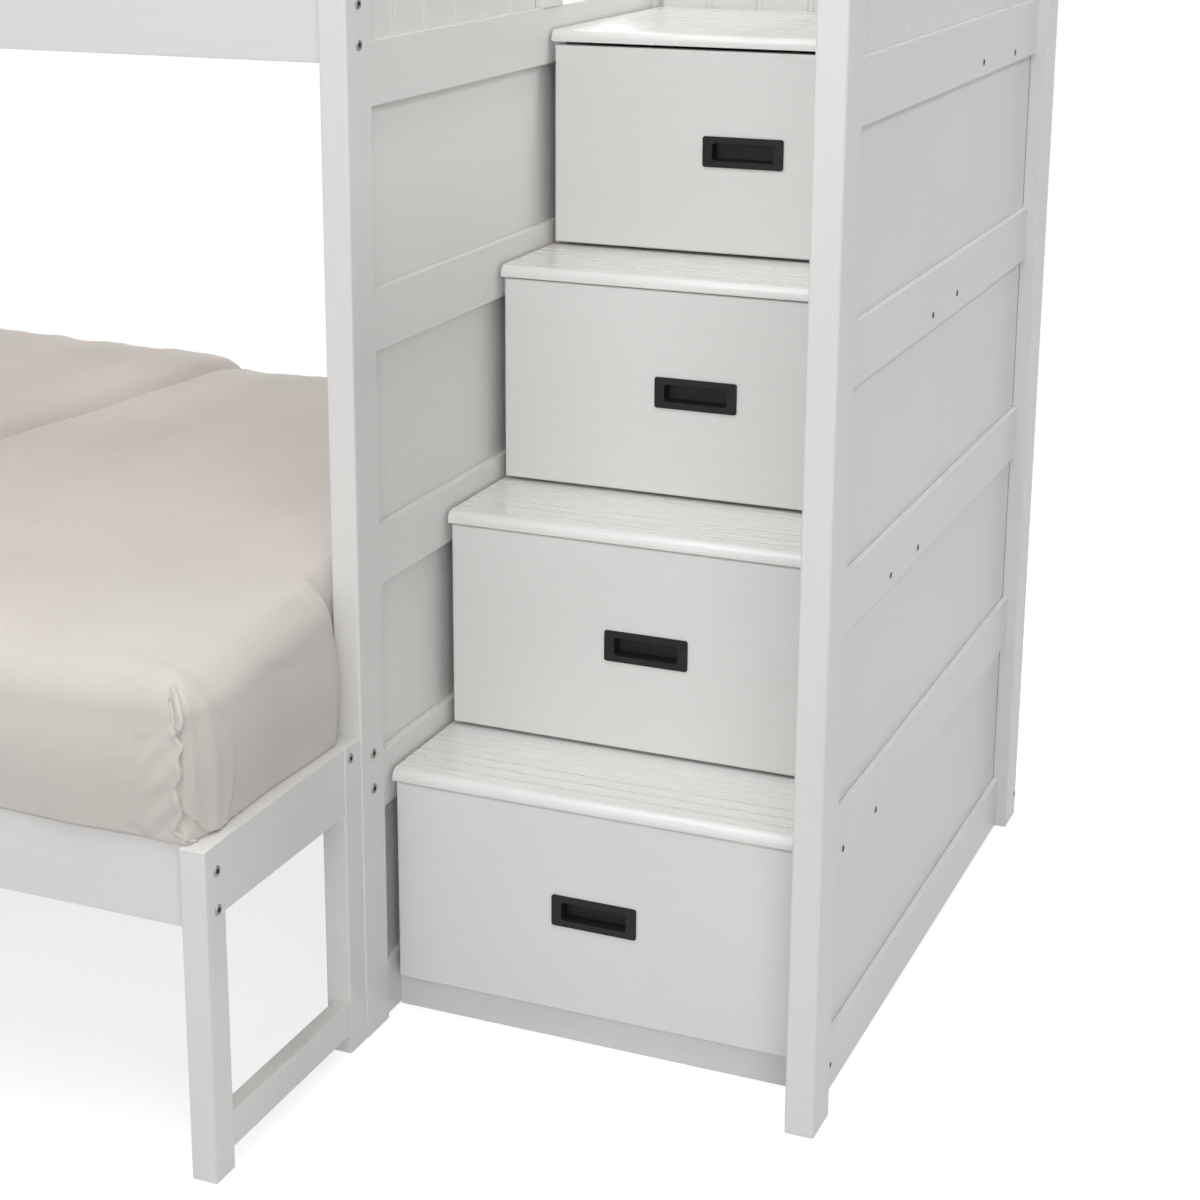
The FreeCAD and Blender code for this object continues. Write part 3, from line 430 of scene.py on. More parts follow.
def rounded_loop(low, high, inset, radius, z, per_corner=10):
    """Points round a rectangle with round corners, at one height."""
    left, right = low.x + inset + radius, high.x - inset - radius
    front, back = low.y + inset + radius, high.y - inset - radius
    points = []
    for quarter, (x, y) in enumerate(((right, back), (left, back), (left, front), (right, front))):
        for k in range(per_corner + 1):
            t = math.radians(90.0 * quarter + 90.0 * k / per_corner)
            points.append(Vector((x + radius * math.cos(t), y + radius * math.sin(t), z)))
    return points


def piping(name, points, radius, sides=10):
    """Closed round cord through points, sewn in along an edge of the mattress."""
    bm = bmesh.new()
    rings = []
    for index, point in enumerate(points):
        ahead = (points[(index + 1) % len(points)] - points[index - 1]).normalized()
        out = ahead.cross(Vector((0, 0, 1))).normalized()
        up = out.cross(ahead)
        turns = [2.0 * math.pi * k / sides for k in range(sides)]
        rings.append([bm.verts.new(point + radius * (out * math.cos(t) + up * math.sin(t))) for t in turns])
    for here, there in zip(rings, rings[1:] + rings[:1]):
        for k in range(sides):
            bm.faces.new((here[k], here[(k + 1) % sides], there[(k + 1) % sides], there[k]))
    bmesh.ops.recalc_face_normals(bm, faces=bm.faces)
    return piece(name, bm, [ticking])


mattress = mattress_piece()
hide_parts("lower_mattress")
for label, height in PIPING_HEIGHTS.items():
    edge = rounded_loop(MATTRESS_LOW, MATTRESS_HIGH, PIPING_INSET, PIPING_CORNER, height)
    piping("mattress_piping_" + label, edge, PIPING_RADIUS)

# ---------------------------------------------------------------- quilt: how the cloth lies
# The lower layer lies over the mattress, hangs to the rails and is tucked square at the foot. Its upper end
# is turned down over it. Each starts as the skin of a rounded box, and drape moves that to the cloth's shape.
QUILT_LOW, QUILT_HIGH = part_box("quilt")
HEM = QUILT_LOW.z
FLAT_TOP = 0.6334
TURNED_TOP = FLAT_TOP + 0.026
HEAD_X, FOOT_X = QUILT_LOW.x, QUILT_HIGH.x
FRONT_Y, REAR_Y = QUILT_LOW.y, QUILT_HIGH.y

# Ridged folds of the cloth: seed, size, stretch along the fold, angle in radians, height.
LONG_FOLDS = (1.7, 0.105, 0.16, 1.66, 0.0062)
SHORT_FOLDS = (6.2, 0.060, 0.22, 1.45, 0.0030)
FINE_FOLDS = (4.1, 0.034, 0.40, 1.20, 0.0006)
MEAN_FOLD = 0.28
# Upright share of the normal where the cloth still hangs, and from which it lies.
HANGING, LYING = 0.25, 0.95
# Share of the folds' height that is left at the foot, and distances from it where they grow and are full.
FOOT_FOLDS = 0.25
FOLDS_GROW, FOLDS_FULL = 0.03, 0.30
# Height over the hem up to which the cloth ripples.
HEM_RIPPLES = 0.17


def folds(p, seed, size, stretch, angle, height):
    """Soft ridged noise in long, slanting folds, which lift the cloth as much as they lower it."""
    c, s = math.cos(angle), math.sin(angle)
    along = (p.x * c + p.y * s) * stretch
    across = -p.x * s + p.y * c
    ridges = noise.noise(Vector((along / size, across / size, p.z / size + seed)))
    waves = noise.noise(Vector((along / size * 0.5, across / size * 0.5, seed + 7.3)))
    return ((1.0 - abs(ridges) * 2.2) * 0.5 + 0.5 * waves - MEAN_FOLD) * height


def lumps(p, per_metre, level, height):
    """Broad, soft unevenness."""
    return noise.noise(Vector((p.x * per_metre, p.y * per_metre, level))) * height


def quilt_skin(p, normal):
    """How far the quilt's skin stands out at a point: folds where it lies, softer ones where it hangs."""
    lying = smooth_step(HANGING, LYING, abs(normal.z))
    grown = FOOT_FOLDS + (1.0 - FOOT_FOLDS) * smooth_step(FOOT_X - FOLDS_GROW, FOOT_X - FOLDS_FULL, p.x)
    over = (folds(p, *LONG_FOLDS) + folds(p, *SHORT_FOLDS)) * grown
    over += lumps(p, 2.2, 3.1, height=0.0045)
    near_hem = 1.0 - smooth_step(HEM, HEM + HEM_RIPPLES, p.z)
    ripple = lumps(p, 7.0, 1.0, height=0.0035) * near_hem
    slack = noise.noise(Vector((p.x * 8.0 + p.z * 3.0, p.y * 8.0, p.z * 2.5))) * 0.0024
    swell = lumps(p, 6.0, p.z * 3.0, height=0.0025)
    return folds(p, *FINE_FOLDS) + over * lying + (ripple + slack + swell) * (1.0 - lying)


def bent_line(*points):
    """A smooth line from four points of the part's source, in its millimetres."""
    return geometry.interpolate_bezier(*[place(*point) for point in points], 14)


def from_line(p, line):
    """Distance of a point from a line of points."""
    nearest = 1.0
    for start, end in zip(line, line[1:]):
        along = end - start
        share = min(max((p - start).dot(along) / along.length_squared, 0.0), 1.0)
        nearest = min(nearest, (p - start - along * share).length)
    return nearest


# Creases that the cloth keeps: line, half width and depth.
CREASES = [
    (bent_line((-146, -352, 641), (-168, -376, 640), (-176, -382, 590), (-180, -386, 535)), 0.0075, 0.0022),
    (bent_line((-118, -360, 636), (-104, -380, 622), (-101, -384, 588), (-114, -386, 548)), 0.0070, 0.0020),
    (bent_line((-232, -350, 641), (-250, -370, 634), (-262, -384, 600), (-259, -386, 560)), 0.0090, 0.0014),
    (bent_line((-19, -235, 622), (-17, -190, 590), (-17, -150, 570), (-17, -120, 566)), 0.0080, 0.0013),
    (bent_line((-60, -30, 640), (-90, 30, 641), (-130, 70, 642), (-190, 90, 642)), 0.0100, 0.0014),
    (bent_line((-45, 120, 640), (-110, 150, 642), (-180, 150, 643), (-260, 175, 644)), 0.0100, 0.0012),
    (bent_line((-40, 330, 640), (-120, 345, 643), (-200, 375, 644), (-300, 380, 645)), 0.0110, 0.0012),
    (bent_line((-17, -70, 600), (-15, -95, 560), (-15, -98, 500), (-16, -85, 450)), 0.0090, 0.0014),
]


def creased(p):
    """Depth of the creases at a point; the cloth rises a little on both sides of each."""
    depth = 0.0
    for line, width, deep in CREASES:
        share = from_line(p, line) / width
        if share < 3.0:
            depth += deep * (1.0 - 0.8 * share * share) * math.exp(-share * share)
    return depth


CROWN_RISE = 0.011


def crown(p):
    """Low dome over the width of the bed."""
    half = (REAR_Y - FRONT_Y) / 2.0
    share = (p.y - (REAR_Y + FRONT_Y) / 2.0) / half
    return CROWN_RISE * max(0.0, 1.0 - share * share)


# From the tall front post on, the foot end lies between the tall posts: how far it steps back there, where
# across the bed the step starts and is complete, and how far from the foot it acts and acts fully.
POST_STEP = 0.0215
POST_STEP_START, POST_STEP_END = place(0, -34, 0).y, place(0, -4, 0).y
POST_STEP_REACH, POST_STEP_FULL = 0.16, 0.03


def beside_post(p):
    """How far the foot end steps back where it lies between the tall posts."""
    step = POST_STEP * smooth_step(POST_STEP_START, POST_STEP_END, p.y)
    return step * smooth_step(FOOT_X - POST_STEP_REACH, FOOT_X - POST_STEP_FULL, p.x)


# How far from the foot the shoulder starts to roll over, by place across the bed in source millimetres.
FOOT_ROLL = [(-375.0, 0.030), (-345.0, 0.075), (-290.0, 0.175), (-190.0, 0.130), (-92.0, 0.055),
             (-24.0, 0.035)]
FOOT_SLOPE = 0.125
# The front and rear edges sink by this much, over these widths, and less so near the front foot corner.
EDGE_SINK = 0.013
FRONT_SINK_WIDTH, REAR_SINK_WIDTH = 0.170, 0.120
CORNER_SPARED, CORNER_SHARE = 0.13, 0.7
# Where the front edge sinks, the foot sinks less by this share.
FOOT_SHARE = 0.3


def shoulder_drop(p):
    """The padding sinks towards the edges, and is scooped beside the front foot corner."""
    roll = along_table(FOOT_ROLL, (p.y - SHIFT_Y) * 1000.0)
    foot = 1.0 - smooth_step(0.0, roll, FOOT_X - p.x)
    corner = bell((p - Vector((FOOT_X, FRONT_Y, p.z))).length, 0.0, CORNER_SPARED)
    front = (1.0 - smooth_step(0.0, FRONT_SINK_WIDTH, p.y - FRONT_Y)) * (1.0 - CORNER_SHARE * corner)
    rear = 1.0 - smooth_step(0.0, REAR_SINK_WIDTH, REAR_Y - p.y)
    return EDGE_SINK * max(front, rear) + FOOT_SLOPE * roll * foot * (1.0 - FOOT_SHARE * front)


SIDE_BULGE = 0.0065
SHOULDER_PULL = 0.006
ABOVE_HEM = 0.0002
# Depths under the top where the crown and the sinking start and act fully, and the same for the pull.
CROWN_START, CROWN_FULL = 0.11, 0.01
PULL_START, PULL_FULL = 0.13, 0.04


def drape(p, n, top=FLAT_TOP, fullness=1.0):
    """Where a point of the plain outline comes to lie on the cloth."""
    height = min(max((p.z - HEM) / (top - HEM), 0.0), 1.0)
    bulge = SIDE_BULGE * math.sin(math.pi * height) * (1.0 - abs(n.z))
    q = p + n * (quilt_skin(p, n) * fullness - creased(p) + bulge)
    q.z += (crown(p) - shoulder_drop(p)) * smooth_step(top - CROWN_START, top - CROWN_FULL, p.z)
    q -= Vector((n.x, n.y, 0.0)) * SHOULDER_PULL * smooth_step(top - PULL_START, top - PULL_FULL, p.z)
    q.x -= beside_post(p)
    q.z = max(q.z, HEM + ABOVE_HEM)
    return q


# ---------------------------------------------------------------- quilt: its two layers
HEM_THICKNESS = 0.003
FILL_THICKNESS = 0.009
THIN_HEIGHT = 0.03


def closed_shell(bm, inner):
    """Adds the inner skin of a cloth and joins it to the outer one along every free edge."""
    rim = [(e.link_loops[0].vert, e.link_loops[0].link_loop_next.vert) for e in bm.edges if e.is_boundary]
    faces, outer = list(bm.faces), list(bm.verts)
    twin = {v: bm.verts.new(inner[v]) for v in outer}
    for face in faces:
        bm.faces.new([twin[v] for v in reversed(face.verts)])
    for a, b in rim:
        bm.faces.new((b, a, twin[a], twin[b]))


def layer(name, bm, lie):
    """Moves a skin to where lie puts its points, and closes it to a padded shell, thin at the hem."""
    inner, moves = {}, []
    for v in bm.verts:
        p, n = v.co.copy(), v.normal.copy()
        q = lie(p, n)
        inner[v] = q - n * (HEM_THICKNESS + FILL_THICKNESS * smooth_step(HEM, HEM + THIN_HEIGHT, p.z))
        moves.append((v, q))
    for v, q in moves:
        v.co = q
    closed_shell(bm, inner)
    return piece(name, bm, [quilt_cloth])


# Outline of the tucked foot corner: a distance s runs round it, from where the plan starts to turn. The front
# cloth's folded edge lies at about FOLD_AT.
CORNER_R = 0.044
LOWER_INSET = 0.008
CORNER = Vector((FOOT_X - 0.001, FRONT_Y + LOWER_INSET, 0.0))
TURN_X, TURN_Y = CORNER.x - CORNER_R, CORNER.y + CORNER_R
CORNER_ARC = CORNER_R * math.pi / 2.0
WALL_H = FLAT_TOP - CORNER_R - HEM
FOLD_AT = 0.0277

# The corner is squared off: two straight lines that meet at the crease, by the angle of the round plan.
CREASE_TURN = 38.0
FOOT_LINE_TURN, FOOT_LINE_REACH = 77.6, 0.9778
SQUARED_R = CORNER_R + 0.004
# Depths under the top where the squaring starts and where it is complete.
SQUARED_START, SQUARED_FULL = 0.004, 0.046

# The trough beside the fold, and the depths under the top and heights over the hem where it starts and is
# deep. Then how much the hem lifts beside the flap, where, how wide and how high up.
TROUGH_DEPTH, TROUGH_WIDTH = 0.0095, 0.0050
TROUGH_AT = FOLD_AT + 0.0020
TROUGH_START, TROUGH_FULL = 0.002, 0.040
TROUGH_HEM, TROUGH_HEM_FULL = 0.006, 0.036
HEM_LIFT, HEM_LIFT_AT, HEM_LIFT_WIDTH, HEM_LIFT_HEIGHT = 0.003, 0.120, 0.010, 0.04


def round_corner(p):
    """Distance s of a point along the outline."""
    if p.x < TURN_X:
        return p.x - TURN_X
    if p.y > TURN_Y:
        return CORNER_ARC + p.y - TURN_Y
    return CORNER_R * math.atan2(p.x - TURN_X, TURN_Y - p.y)


def corner_point(s, up):
    """Outline point and normal: s runs round the foot corner, up runs up the side and over the shoulder."""
    tilt = max(0.0, (up - WALL_H) / CORNER_R)
    inset, rise = CORNER_R * (1.0 - math.cos(tilt)), CORNER_R * math.sin(tilt)
    z = HEM + up if tilt == 0.0 else FLAT_TOP - CORNER_R + rise
    turn = min(max(s / CORNER_R, 0.0), math.pi / 2.0)
    side = Vector((math.sin(turn), -math.cos(turn), 0.0))
    p = Vector((TURN_X, TURN_Y, z)) + side * (CORNER_R - inset)
    p.x += min(s, 0.0)
    p.y += max(s - CORNER_ARC, 0.0)
    return p, side * math.cos(tilt) + Vector((0.0, 0.0, math.sin(tilt)))


def squared(s, z):
    """How far the squared corner stands out from its round plan: the front runs on flat to the crease, and
    from there the foot cloth runs straight to the foot side."""
    turn = math.degrees(min(max(s / CORNER_R, 0.0), math.pi / 2.0))
    if turn < CREASE_TURN:
        reach = 1.0 / math.cos(math.radians(turn))
    else:
        reach = FOOT_LINE_REACH / math.cos(math.radians(turn - FOOT_LINE_TURN))
    return SQUARED_R * (reach - 1.0) * smooth_step(FLAT_TOP - SQUARED_START, FLAT_TOP - SQUARED_FULL, z)


def trough(p):
    """How deep the cloth is drawn in between the front fold and the foot flap."""
    depth = TROUGH_DEPTH * bell(round_corner(p), TROUGH_AT, TROUGH_WIDTH)
    depth *= smooth_step(FLAT_TOP - TROUGH_START, FLAT_TOP - TROUGH_FULL, p.z)
    return depth * smooth_step(HEM + TROUGH_HEM, HEM + TROUGH_HEM_FULL, p.z)


def hem_lift(p):
    """The hem lifts a little beside the flap."""
    lift = HEM_LIFT * bell(round_corner(p), HEM_LIFT_AT, HEM_LIFT_WIDTH)
    return lift * (1.0 - smooth_step(HEM, HEM + HEM_LIFT_HEIGHT, p.z))


# The lower layer runs on under the turned-down one.
TURN_DOWN_X = place(-800.0, 0, 0).x
UNDER_TURNED = 0.16
LOWER_GRID = (0.012, 0.004)


def lower_layer():
    """The quilt over the foot half of the bed."""
    low = Vector((TURN_DOWN_X - UNDER_TURNED, CORNER.y, HEM))
    high = Vector((CORNER.x, REAR_Y - LOWER_INSET, FLAT_TOP))
    bm = soft_box(low, high, CORNER_R, LOWER_GRID, ("x+", "y-", "y+", "z+"))
    bm.normal_update()

    def lie(p, n):
        q = drape(p, n)
        near_corner_side = n.x > 0.2 or n.y < -0.2
        if near_corner_side and abs(n.z) < 0.9:
            q -= n * (trough(p) - squared(round_corner(p), p.z))
            q.z += hem_lift(p)
        return q

    return layer("quilt_lower", bm, lie)


# The turned-down layer ends slightly askew, in a rolled edge that is undercut beneath its lip.
FREE_EDGE = place(-817.0, 328.0, 0.0)
FREE_EDGE_SLANT, SLANT_REACH = 0.0753, 0.45
TURNED_HEAD_INSET, TURNED_SIDE_INSET = 0.002, 0.001
TURNED_RADIUS = 0.046
TURNED_GRID = (0.014, 0.004)
TURNED_FULLNESS = 1.2
# Heights against the flat top between which the edge goes from the sides' roll to the top's.
SIDE_ROLL_END, TOP_ROLL_START = -0.05, 0.015
ROLL_WIDTH, ROLL_DROP, ROLL_PULL = 0.105, 0.032, 0.009
LIP_WIDTH, LIP_UNDERCUT = 0.013, 0.011
MATTRESS_CLEAR = 0.004


def free_edge_x(y):
    return FREE_EDGE.x + FREE_EDGE_SLANT * (y - FREE_EDGE.y)


def meets_mattress(point):
    """True where the head end of the turned layer would cut through the mattress."""
    low, high = MATTRESS_LOW.y + MATTRESS_CLEAR, MATTRESS_HIGH.y - MATTRESS_CLEAR
    return point.z < MATTRESS_HIGH.z - MATTRESS_CLEAR and low < point.y < high


def turned_layer():
    """The upper end of the quilt, turned down over the lower layer."""
    edge_x = free_edge_x(0.0)
    low = Vector((HEAD_X + TURNED_HEAD_INSET, FRONT_Y + TURNED_SIDE_INSET, HEM))
    high = Vector((edge_x, REAR_Y - TURNED_SIDE_INSET, TURNED_TOP))
    middle_y = (low.y + high.y) / 2.0
    bm = soft_box(low, high, TURNED_RADIUS, TURNED_GRID, ("x-", "y-", "y+", "z+"))
    bm.normal_update()
    hidden = [f for f in bm.faces if f.normal.x < -0.5 and meets_mattress(f.calc_center_median())]
    bmesh.ops.delete(bm, geom=hidden, context="FACES")

    def lie(p, n):
        q = drape(p, n, TURNED_TOP, TURNED_FULLNESS)
        to_edge = edge_x - p.x
        near = min(max(to_edge / ROLL_WIDTH, 0.0), 1.0)
        rolled = 1.0 - math.sqrt(max(0.0, 1.0 - (1.0 - near) ** 2))
        lying = smooth_step(FLAT_TOP + SIDE_ROLL_END, FLAT_TOP + TOP_ROLL_START, p.z)
        q.z -= ROLL_DROP * rolled * lying
        q.y -= math.copysign(ROLL_PULL, p.y - middle_y) * rolled * (1.0 - lying)
        q.x += (free_edge_x(p.y) - edge_x) * smooth_step(SLANT_REACH, 0.0, to_edge)
        q.x -= LIP_UNDERCUT * (1.0 - min(to_edge / LIP_WIDTH, 1.0)) ** 2
        return q

    return layer("quilt_turned", bm, lie)


# ---------------------------------------------------------------- quilt: the tucked foot corner
# Height of a point, and how far round the corner from FOLD_AT the front cloth's folded edge lies there.
FOLD_EDGE = [(0.430, 0.016), (0.438, 0.002), (0.447, -0.006), (0.469, 0.000), (0.482, -0.002),
             (0.499, -0.004), (0.518, 0.001), (0.536, -0.001), (0.553, 0.003), (0.566, -0.001),
             (0.572, 0.002), (0.588, 0.005), (0.608, 0.003), (0.626, -0.003)]
# Height, and how far before the folded edge the slit of its loose ear lies.
EAR_SLIT = [(0.566, 0.0020), (0.573, 0.0060), (0.580, 0.0112), (0.606, 0.0125)]
# Height, and the place across the bed where the foot flap ends, in source millimetres.
FLAP_EDGE = [(0.440, -300.0), (0.468, -292.0), (0.505, -284.0), (0.544, -289.0), (0.580, -307.0),
             (0.632, -339.0)]
# Distance s, and how high over the hem the foot flap's lower edge runs.
FLAP_HEM = [(0.0277, 0.040), (0.040, 0.026), (0.050, 0.0120), (0.058, 0.005), (0.078, 0.0025),
            (0.095, 0.002), (0.130, 0.004)]
OVERLAY_THICKNESS = 0.0045

# The front fold reaches this far from its edge, and its columns crowd towards the edge. Its far side lies
# sunk in the front cloth, and its edge side stands proud of it.
FOLD_REACH, FOLD_CROWDING = 0.090, 0.8
FOLD_SUNK, FOLD_RISE, FOLD_RISE_START, FOLD_RISE_END = 0.0035, 0.0065, 0.095, 0.030
# The edge turns in, and from these heights on it has a rolled lip.
LIP_START, LIP_FULL = 0.434, 0.452
LIP_RISE, LIP_HALF_WIDTH = 0.0026, 0.0040
EDGE_TUCK, LIP_TUCK, TUCK_WIDTH = 0.0060, 0.0075, 0.0022
# Ruffles slant up towards the edge, grow towards it and end below the ear.
RUFFLE_RISE, RUFFLE_PITCH, RUFFLE_SLANT, RUFFLE_SWIRL = 0.0013, 0.041, 1.25, 1.6
RUFFLE_REACH, RUFFLE_FULL = 0.065, 0.012
RUFFLE_END_START, RUFFLE_END = 0.555, 0.580
# The loose ear at the top of the edge, and its slit: pairs of heights between which each comes and goes.
EAR_RISE, EAR_AT, EAR_WIDTH = 0.0052, 0.0058, 0.0052
EAR_COMES, EAR_GOES = (0.562, 0.574), (0.637, 0.612)
SLIT_DEPTH, SLIT_WIDTH = 0.0085, 0.0021
SLIT_COMES, SLIT_GOES = (0.560, 0.572), (0.6075, 0.6035)
FOLD_TOP_TUCK, FOLD_TOP_TUCK_START = 0.0075, 0.6

# The foot flap starts sunk under the fold, with a dent along it, and stands proud of the foot cloth.
FLAP_UNDER_FOLD, FLAP_SUNK = 0.005, 0.0018
FLAP_RISE, FLAP_RISE_WIDTH = 0.0048, 0.055
DENT_DEPTH, DENT_WIDTH = 0.0045, 0.006
FLAP_EDGE_TUCK, FLAP_TUCK_WIDTH = 0.0065, 0.0032
# Between these heights the flap goes flatter, down to this share, and its top is tucked under.
FLATTER_START, FLATTER_END, FLATTER_SHARE = 0.560, 0.610, 0.3
FLAP_TOP_TUCK, FLAP_TOP_TUCK_START = 0.0060, 0.008
FLAP_RIPPLE, FLAP_RIPPLE_ROUND, FLAP_RIPPLE_UP = 0.0008, 190.0, 18.0
RIPPLE_START, RIPPLE_FULL = 0.01, 0.03
FLAP_HEM_RISE, FLAP_HEM_WIDTH = 0.0016, 0.10


def overlay(name, rows, columns, point):
    """A cloth laid over the foot corner. point gives its distance s, outline height and how proud it lies."""
    bm = bmesh.new()
    inner, grid = {}, []
    for r in range(rows + 1):
        line = []
        for c in range(columns + 1):
            s, up, proud = point(c / columns, r / rows)
            p, n = corner_point(s, up)
            q = drape(p, n) + n * proud
            v = bm.verts.new(q)
            inner[v] = q - n * OVERLAY_THICKNESS
            line.append(v)
        grid.append(line)
    for here, there in zip(grid, grid[1:]):
        for c in range(columns):
            bm.faces.new((here[c], here[c + 1], there[c + 1], there[c]))
    closed_shell(bm, inner)
    return piece(name, bm, [quilt_cloth])


def front_fold_point(across, up_share):
    """The front cloth's edge: a thin rolled lip with slanting ruffles, and a loose ear at its top."""
    shoulder = CORNER_R * 1.02
    up = 0.0004 + (WALL_H + shoulder) * up_share
    z = HEM + up
    end = FOLD_AT + along_table(FOLD_EDGE, z)
    s = -FOLD_REACH + (end + FOLD_REACH) * across ** FOLD_CROWDING
    before = end - s
    proud = -FOLD_SUNK + FOLD_RISE * smooth_step(FOLD_RISE_START, FOLD_RISE_END, before)
    lip = smooth_step(LIP_START, LIP_FULL, z)
    proud += LIP_RISE * bell(before, LIP_HALF_WIDTH, LIP_HALF_WIDTH) * lip
    proud -= (EDGE_TUCK + LIP_TUCK * lip) * smooth_step(TUCK_WIDTH, 0.0, before)
    swirl = RUFFLE_SWIRL * noise.noise(Vector((z * 24.0, s * 18.0, 4.0)))
    ruffle = math.sin(2.0 * math.pi * (z - RUFFLE_SLANT * s) / RUFFLE_PITCH + swirl)
    below_ear = 1.0 - smooth_step(RUFFLE_END_START, RUFFLE_END, z)
    proud += RUFFLE_RISE * ruffle * smooth_step(RUFFLE_REACH, RUFFLE_FULL, before) * below_ear
    ear = smooth_step(*EAR_COMES, z) * smooth_step(*EAR_GOES, z)
    proud += EAR_RISE * ear * bell(before, EAR_AT, EAR_WIDTH)
    slit = bell(before, along_table(EAR_SLIT, z), SLIT_WIDTH)
    proud -= SLIT_DEPTH * slit * smooth_step(*SLIT_COMES, z) * smooth_step(*SLIT_GOES, z)
    proud -= FOLD_TOP_TUCK * smooth_step(FOLD_TOP_TUCK_START, 1.0, (up - WALL_H) / shoulder)
    return s, up, proud + squared(s, z)


def foot_flap_point(across, up_share):
    """The foot cloth folded in beside the corner: its slanting lower edge and its step on the foot side."""
    top = WALL_H + CORNER_R * 1.05
    end = CORNER_ARC + place(0, along_table(FLAP_EDGE, HEM + top * up_share), 0).y - TURN_Y
    start = FOLD_AT - FLAP_UNDER_FOLD
    s = start + (end - start) * across
    foot = along_table(FLAP_HEM, s)
    up = foot + (top - foot) * up_share
    proud = -FLAP_SUNK + FLAP_RISE * smooth_step(0.0, FLAP_RISE_WIDTH, s - start)
    proud -= DENT_DEPTH * bell(s, FOLD_AT, DENT_WIDTH)
    proud -= FLAP_EDGE_TUCK * smooth_step(FLAP_TUCK_WIDTH, 0.0, end - s)
    proud *= 1.0 - (1.0 - FLATTER_SHARE) * smooth_step(FLATTER_START, FLATTER_END, HEM + up)
    proud -= FLAP_TOP_TUCK * smooth_step(WALL_H + FLAP_TOP_TUCK_START, top, up)
    ripple = math.sin(s * FLAP_RIPPLE_ROUND + up * FLAP_RIPPLE_UP)
    proud += FLAP_RIPPLE * ripple * smooth_step(RIPPLE_START, RIPPLE_FULL, s - start) * (1.0 - up_share)
    proud += FLAP_HEM_RISE * bell(up_share, 0.0, FLAP_HEM_WIDTH)
    return s, up, proud + squared(s, HEM + up)


lower = lower_layer()
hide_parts("quilt")
turned = turned_layer()
front_fold = overlay("quilt_front_fold", 110, 56, front_fold_point)
foot_flap = overlay("quilt_foot_flap", 90, 56, foot_flap_point)

# ---------------------------------------------------------------- bolts and screws
# Profile of a low domed head, as shares of its radius and of its height.
HEAD_PROFILE = [(0.97, -0.3), (1.0, 0.0), (1.0, 0.45), (0.94, 0.82), (0.80, 1.0)]
# Profile of its socket, as shares of the socket's radius and the head's height, and whether it is hexagonal.
SOCKET_PROFILE = [(1.25, 1.0, False), (1.0, 0.92, True), (0.96, 0.12, True)]
BOLT = {"radius": 0.0068, "height": 0.0016, "socket": 0.0030}
SCREW = {"radius": 0.0050, "height": 0.0007, "socket": 0.0036}
TO_FOOT, TO_HEAD = Vector((1, 0, 0)), Vector((-1, 0, 0))


def socket_head(bm, centre, axis, radius, height, socket, sides=36):
    """Low domed head with a hexagonal socket; the socket's faces take the second material, its painted shade.
    """
    side = Vector((0, 1, 0))
    up = axis.cross(side)

    def ring(r, h, hexagon=False):
        """Points round the axis; on a hexagon r reaches to the middle of its sides."""
        points = []
        for k in range(sides):
            t = 2.0 * math.pi * k / sides
            reach = r / math.cos((t % (math.pi / 3.0)) - math.pi / 6.0) if hexagon else r
            p = centre + axis * h + side * math.cos(t) * reach + up * math.sin(t) * reach
            points.append(bm.verts.new(p))
        return points

    rings = [ring(radius * across, height * high) for across, high in HEAD_PROFILE]
    rings += [ring(socket * across, height * high, hexagon) for across, high, hexagon in SOCKET_PROFILE]
    for index, (near, far) in enumerate(zip(rings, rings[1:])):
        for k in range(sides):
            face = bm.faces.new((near[k], near[(k + 1) % sides], far[(k + 1) % sides], far[k]))
            face.material_index = 1 if index == len(rings) - 2 else 0
            face.smooth = index < len(rings) - 3
    floor = bm.faces.new(rings[-1])
    floor.material_index = 1
    bm.faces.new(list(reversed(rings[0])))


def fasteners(name, places, axis, size):
    """One piece of equal heads."""
    bm = bmesh.new()
    for centre in places:
        socket_head(bm, centre, axis, **size)
    bmesh.ops.recalc_face_normals(bm, faces=bm.faces)
    return piece(name, bm, [steel, socket_shade_paint], smooth=False)


# Places in the part's source, in its millimetres: faces that the heads sit on, rows across, pairs in height.
POST_FACE, LEG_FACE, HEAD_FACE = 0.0, -1.0, -1991.0
RAIL_FACE, OUTER_POST_FACE = 602.0, 618.0
FRONT_ROW, REAR_ROW, LEG_ROW = 32, 1053, -358
UPPER_PAIR, LOWER_PAIR = (1309.0, 1358.0), (347.0, 396.0)
STRETCHER_BOLT = place(LEG_FACE, -29, 412)
SCREWS = [(143, 326), (290, 320), (319.5, 632.5), (451, 632), (479, 942), (604, 948), (696, 1249),
          (882, 1245), (117.2, 37.7)]
LOW_POST_SCREW = place(OUTER_POST_FACE, 1074.4, 37.3)

bolts = [place(POST_FACE, FRONT_ROW, z) for z in UPPER_PAIR + LOWER_PAIR]
bolts += [place(POST_FACE, REAR_ROW, z) for z in UPPER_PAIR]
bolts += [place(LEG_FACE, LEG_ROW, z) for z in LOWER_PAIR]
bed_bolts = fasteners("bed_bolts", bolts + [STRETCHER_BOLT], TO_FOOT, BOLT)
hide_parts("frame_bolts")
screws = [place(RAIL_FACE, y, z) for y, z in SCREWS]
fasteners("rail_screws", screws + [LOW_POST_SCREW], TO_FOOT, SCREW)
head_bolts = [place(HEAD_FACE, y, z) for y in (FRONT_ROW, REAR_ROW) for z in UPPER_PAIR + LOWER_PAIR]
fasteners("head_bolts", head_bolts, TO_HEAD, BOLT)

